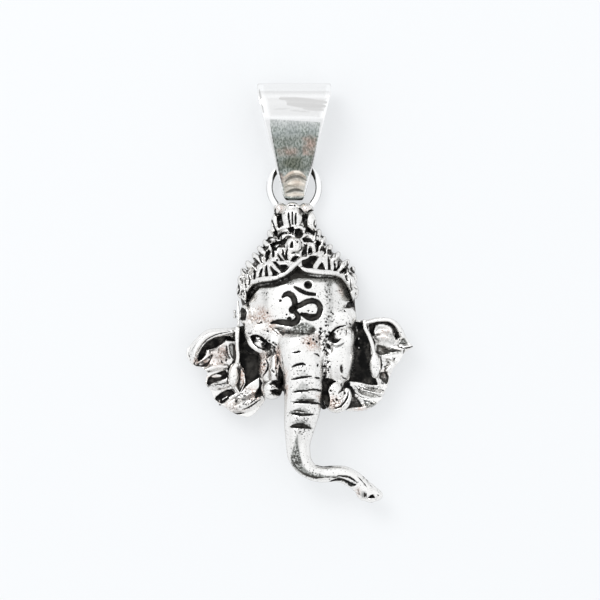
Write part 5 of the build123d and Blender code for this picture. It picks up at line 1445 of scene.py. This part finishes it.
def make_silver_with_painted_light():
    """Polished silver with an upright grain; its flat face, top and end carry painted reflections and shade.
    """
    material, nodes, shader = new_material("polished_silver")
    ramp, mix, maths = nodes.ramp, nodes.mix, nodes.maths
    black, warm, face_reflection, tarnish_and_shade, end_reflection = map(nodes.attribute, ("Black", "Warm", "Face_reflection", "Tarnish_and_shade", "End_reflection"))
    place = nodes.add("ShaderNodeTexCoord").outputs["Object"]
    upright = nodes.add("ShaderNodeMapping", Vector=place, Scale=(1, 0.4, 1)).outputs["Vector"]
    grain = nodes.noise(upright, scale=4600.0, detail=2.0)
    cloud = nodes.noise(place, scale=700.0, detail=4.0)
    grains = ramp(grain, 0.36, 0.62)

    face = mix(ramp(cloud, 0.4, 0.6, 0.0, 0.45), mix(grains, *FACE_REFLECTION_GREYS), FACE_REFLECTION_CLOUD)
    face = mix(maths("MULTIPLY", tarnish_and_shade, ramp(cloud, 0.3, 0.55, 0.55, 1.0)), face, mix(grains, *FACE_REFLECTION_OLIVES))
    face = mix(maths("MULTIPLY", warm, ramp(cloud, 0.35, 0.6, 0.35, 1.0)), face, mix(grains, *PINK))
    # The end's warm painted reflection
    face = mix(end_reflection, face, mix(ramp(cloud, 0.4, 0.6), *CREAM))
    # The bright top, greyed by painted reflections
    top_with_reflections = mix(ramp(tarnish_and_shade, 0.0, 1.0, 0.0, 0.8), mix(ramp(grain, 0.3, 0.7), *CLEAN), TOP_REFLECTION_GREY)
    colour = mix(ramp(black, 0.1, 1.0), mix(face_reflection, top_with_reflections, face), PAINTED_SHADE_BLACK)

    nodes.feed(shader["Base Color"], paint_edge_shade(nodes, colour, most=0.3))
    shader["Metallic"].default_value = 1.0
    nodes.feed(shader["Roughness"], ramp(face_reflection, 0.2, 0.9, 0.14, 0.3))
    nodes.feed(shader["Normal"], nodes.bump(grain, strength=0.15, distance=0.00002))
    return material


# Picture, in millimetres
PICTURE_WIDTH = 78.96
PICTURE_MIDDLE = (0.028, -1.092)
CAMERA_HEIGHT = 800.0
PENDANT_HEIGHT = 4
SENSOR = 36.0
# Table, in metres, and its finish: it glows a little, as an overexposed white table does
TABLE_RADIUS = 1.5
TABLE_COLOUR = (0.38, 0.385, 0.39, 1)
TABLE_GLOW = 0.51
# Studio: a white room, darker near the horizon and in one place, whose direction, edge and share are given
STUDIO_WHITE = (0.97, 0.985, 1.0, 1)
GREY_SIDE = (0.0, -0.85, 0.52)
GREY_SIDE_EDGE = (0.86, 0.97)
GREY_SIDE_SHARE = 0.8
HORIZON_EDGE = (0.05, 0.5)
HORIZON_SHARE = 0.88
ZENITH_SHARE = 1.08
LAMP_PLACE = (-0.25, 0.35, 0.5)
LAMP_SIZE = 0.35
LAMP_POWER = 1.1


def add_floor():
    bm = bmesh.new()
    bmesh.ops.create_circle(bm, cap_ends=True, segments=96, radius=TABLE_RADIUS)
    floor = linked(bm, "table")
    material, _, shader = new_material("pale_table")
    shader["Base Color"].default_value = TABLE_COLOUR
    shader["Emission Color"].default_value = STUDIO_WHITE
    shader["Emission Strength"].default_value = TABLE_GLOW
    shader["Roughness"].default_value = 0.9
    shader["Specular IOR Level"].default_value = 0.2
    floor.data.materials.append(material)


def add_studio():
    """A white room with one grey side, low in front of the trunk, and a soft lamp over the bail's left."""
    world = bpy.data.worlds.new("studio")
    scene.world = world
    world.use_nodes = True
    nodes = Nodes(world.node_tree)
    sky = world.node_tree.nodes["Background"].inputs
    way = nodes.add("ShaderNodeTexCoord").outputs["Generated"]
    toward = nodes.add("ShaderNodeVectorMath", operation="DOT_PRODUCT")
    nodes.feed(toward.inputs[0], way)
    nodes.feed(toward.inputs[1], GREY_SIDE)
    side = nodes.ramp(toward.outputs["Value"], *GREY_SIDE_EDGE, 1.0, GREY_SIDE_SHARE)
    up = nodes.add("ShaderNodeSeparateXYZ", Vector=way).outputs["Z"]
    height = nodes.ramp(up, *HORIZON_EDGE, HORIZON_SHARE, ZENITH_SHARE)
    nodes.feed(sky["Strength"], nodes.maths("MULTIPLY", side, height))
    sky["Color"].default_value = STUDIO_WHITE
    lamp = bpy.data.lights.new("soft_lamp", "AREA")
    lamp.shape = "DISK"
    lamp.size = LAMP_SIZE
    lamp.energy = LAMP_POWER
    holder = bpy.data.objects.new("soft_lamp", lamp)
    holder.location = LAMP_PLACE
    holder.rotation_euler = Vector(LAMP_PLACE).to_track_quat("Z", "Y").to_euler()
    scene.collection.objects.link(holder)


def add_camera():
    camera = bpy.data.cameras.new("camera")
    camera.sensor_width = SENSOR
    camera.lens = SENSOR * (CAMERA_HEIGHT - PENDANT_HEIGHT) / PICTURE_WIDTH
    holder = bpy.data.objects.new("camera", camera)
    holder.location = (PICTURE_MIDDLE[0] * MM, PICTURE_MIDDLE[1] * MM, CAMERA_HEIGHT * MM)
    scene.collection.objects.link(holder)
    scene.camera = holder


def shape_casting():
    """The casting's five pieces, carved, blackened in recesses, rubbed, with tarnish, painted shade and
    sheen.
    """
    left, right = shape_left_ear(), shape_right_ear()
    straps = shape_straps()
    casting = [shape_head(), shape_crown(), left, right, straps]
    for wax in casting:
        wax.face_again()
    blacken_recesses(casting)
    for wax in casting:
        for width, share, line in RUBBED_AND_SHEEN:
            wax.rub(line, width, share)
        for share, corners in GAP_SHEEN:
            wax.cover("tarnish_and_shade", corners, share, soft=0.6)
    for wax in (left, right):
        for share, corners in EAR_TARNISH_AND_SHADE:
            wax.cover("tarnish_and_shade", corners, share)
    return casting


def main():
    add_camera()
    add_floor()
    add_studio()
    scene.view_settings.view_transform = "Standard"
    low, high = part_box("bail")
    shift = ((low.x + high.x) / 2 / MM - BAIL_MIDDLE_X, high.y / MM - BAIL_TOP_Y)
    on_model = Matrix.Scale(MM, 4) @ Matrix.Translation((*shift, 0))
    cast_silver = make_cast_silver(make_patina_group())
    silver_with_painted_light = make_silver_with_painted_light()
    pieces = [(wax, cast_silver, "head", "cast_silver") for wax in shape_casting()]
    pieces.append((shape_bail(), silver_with_painted_light, "bail", "polished_silver"))
    pieces.append((shape_ring(), silver_with_painted_light, "jump_ring", "ring_silver"))
    for wax, material, node, slot in pieces:
        wax.finish()
        wax.mesh.materials.clear()
        wax.mesh.materials.append(material)
        wax.mesh.transform(on_model)
        wax.mesh.update()
        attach(wax.piece, "root")
        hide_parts(node)


main()
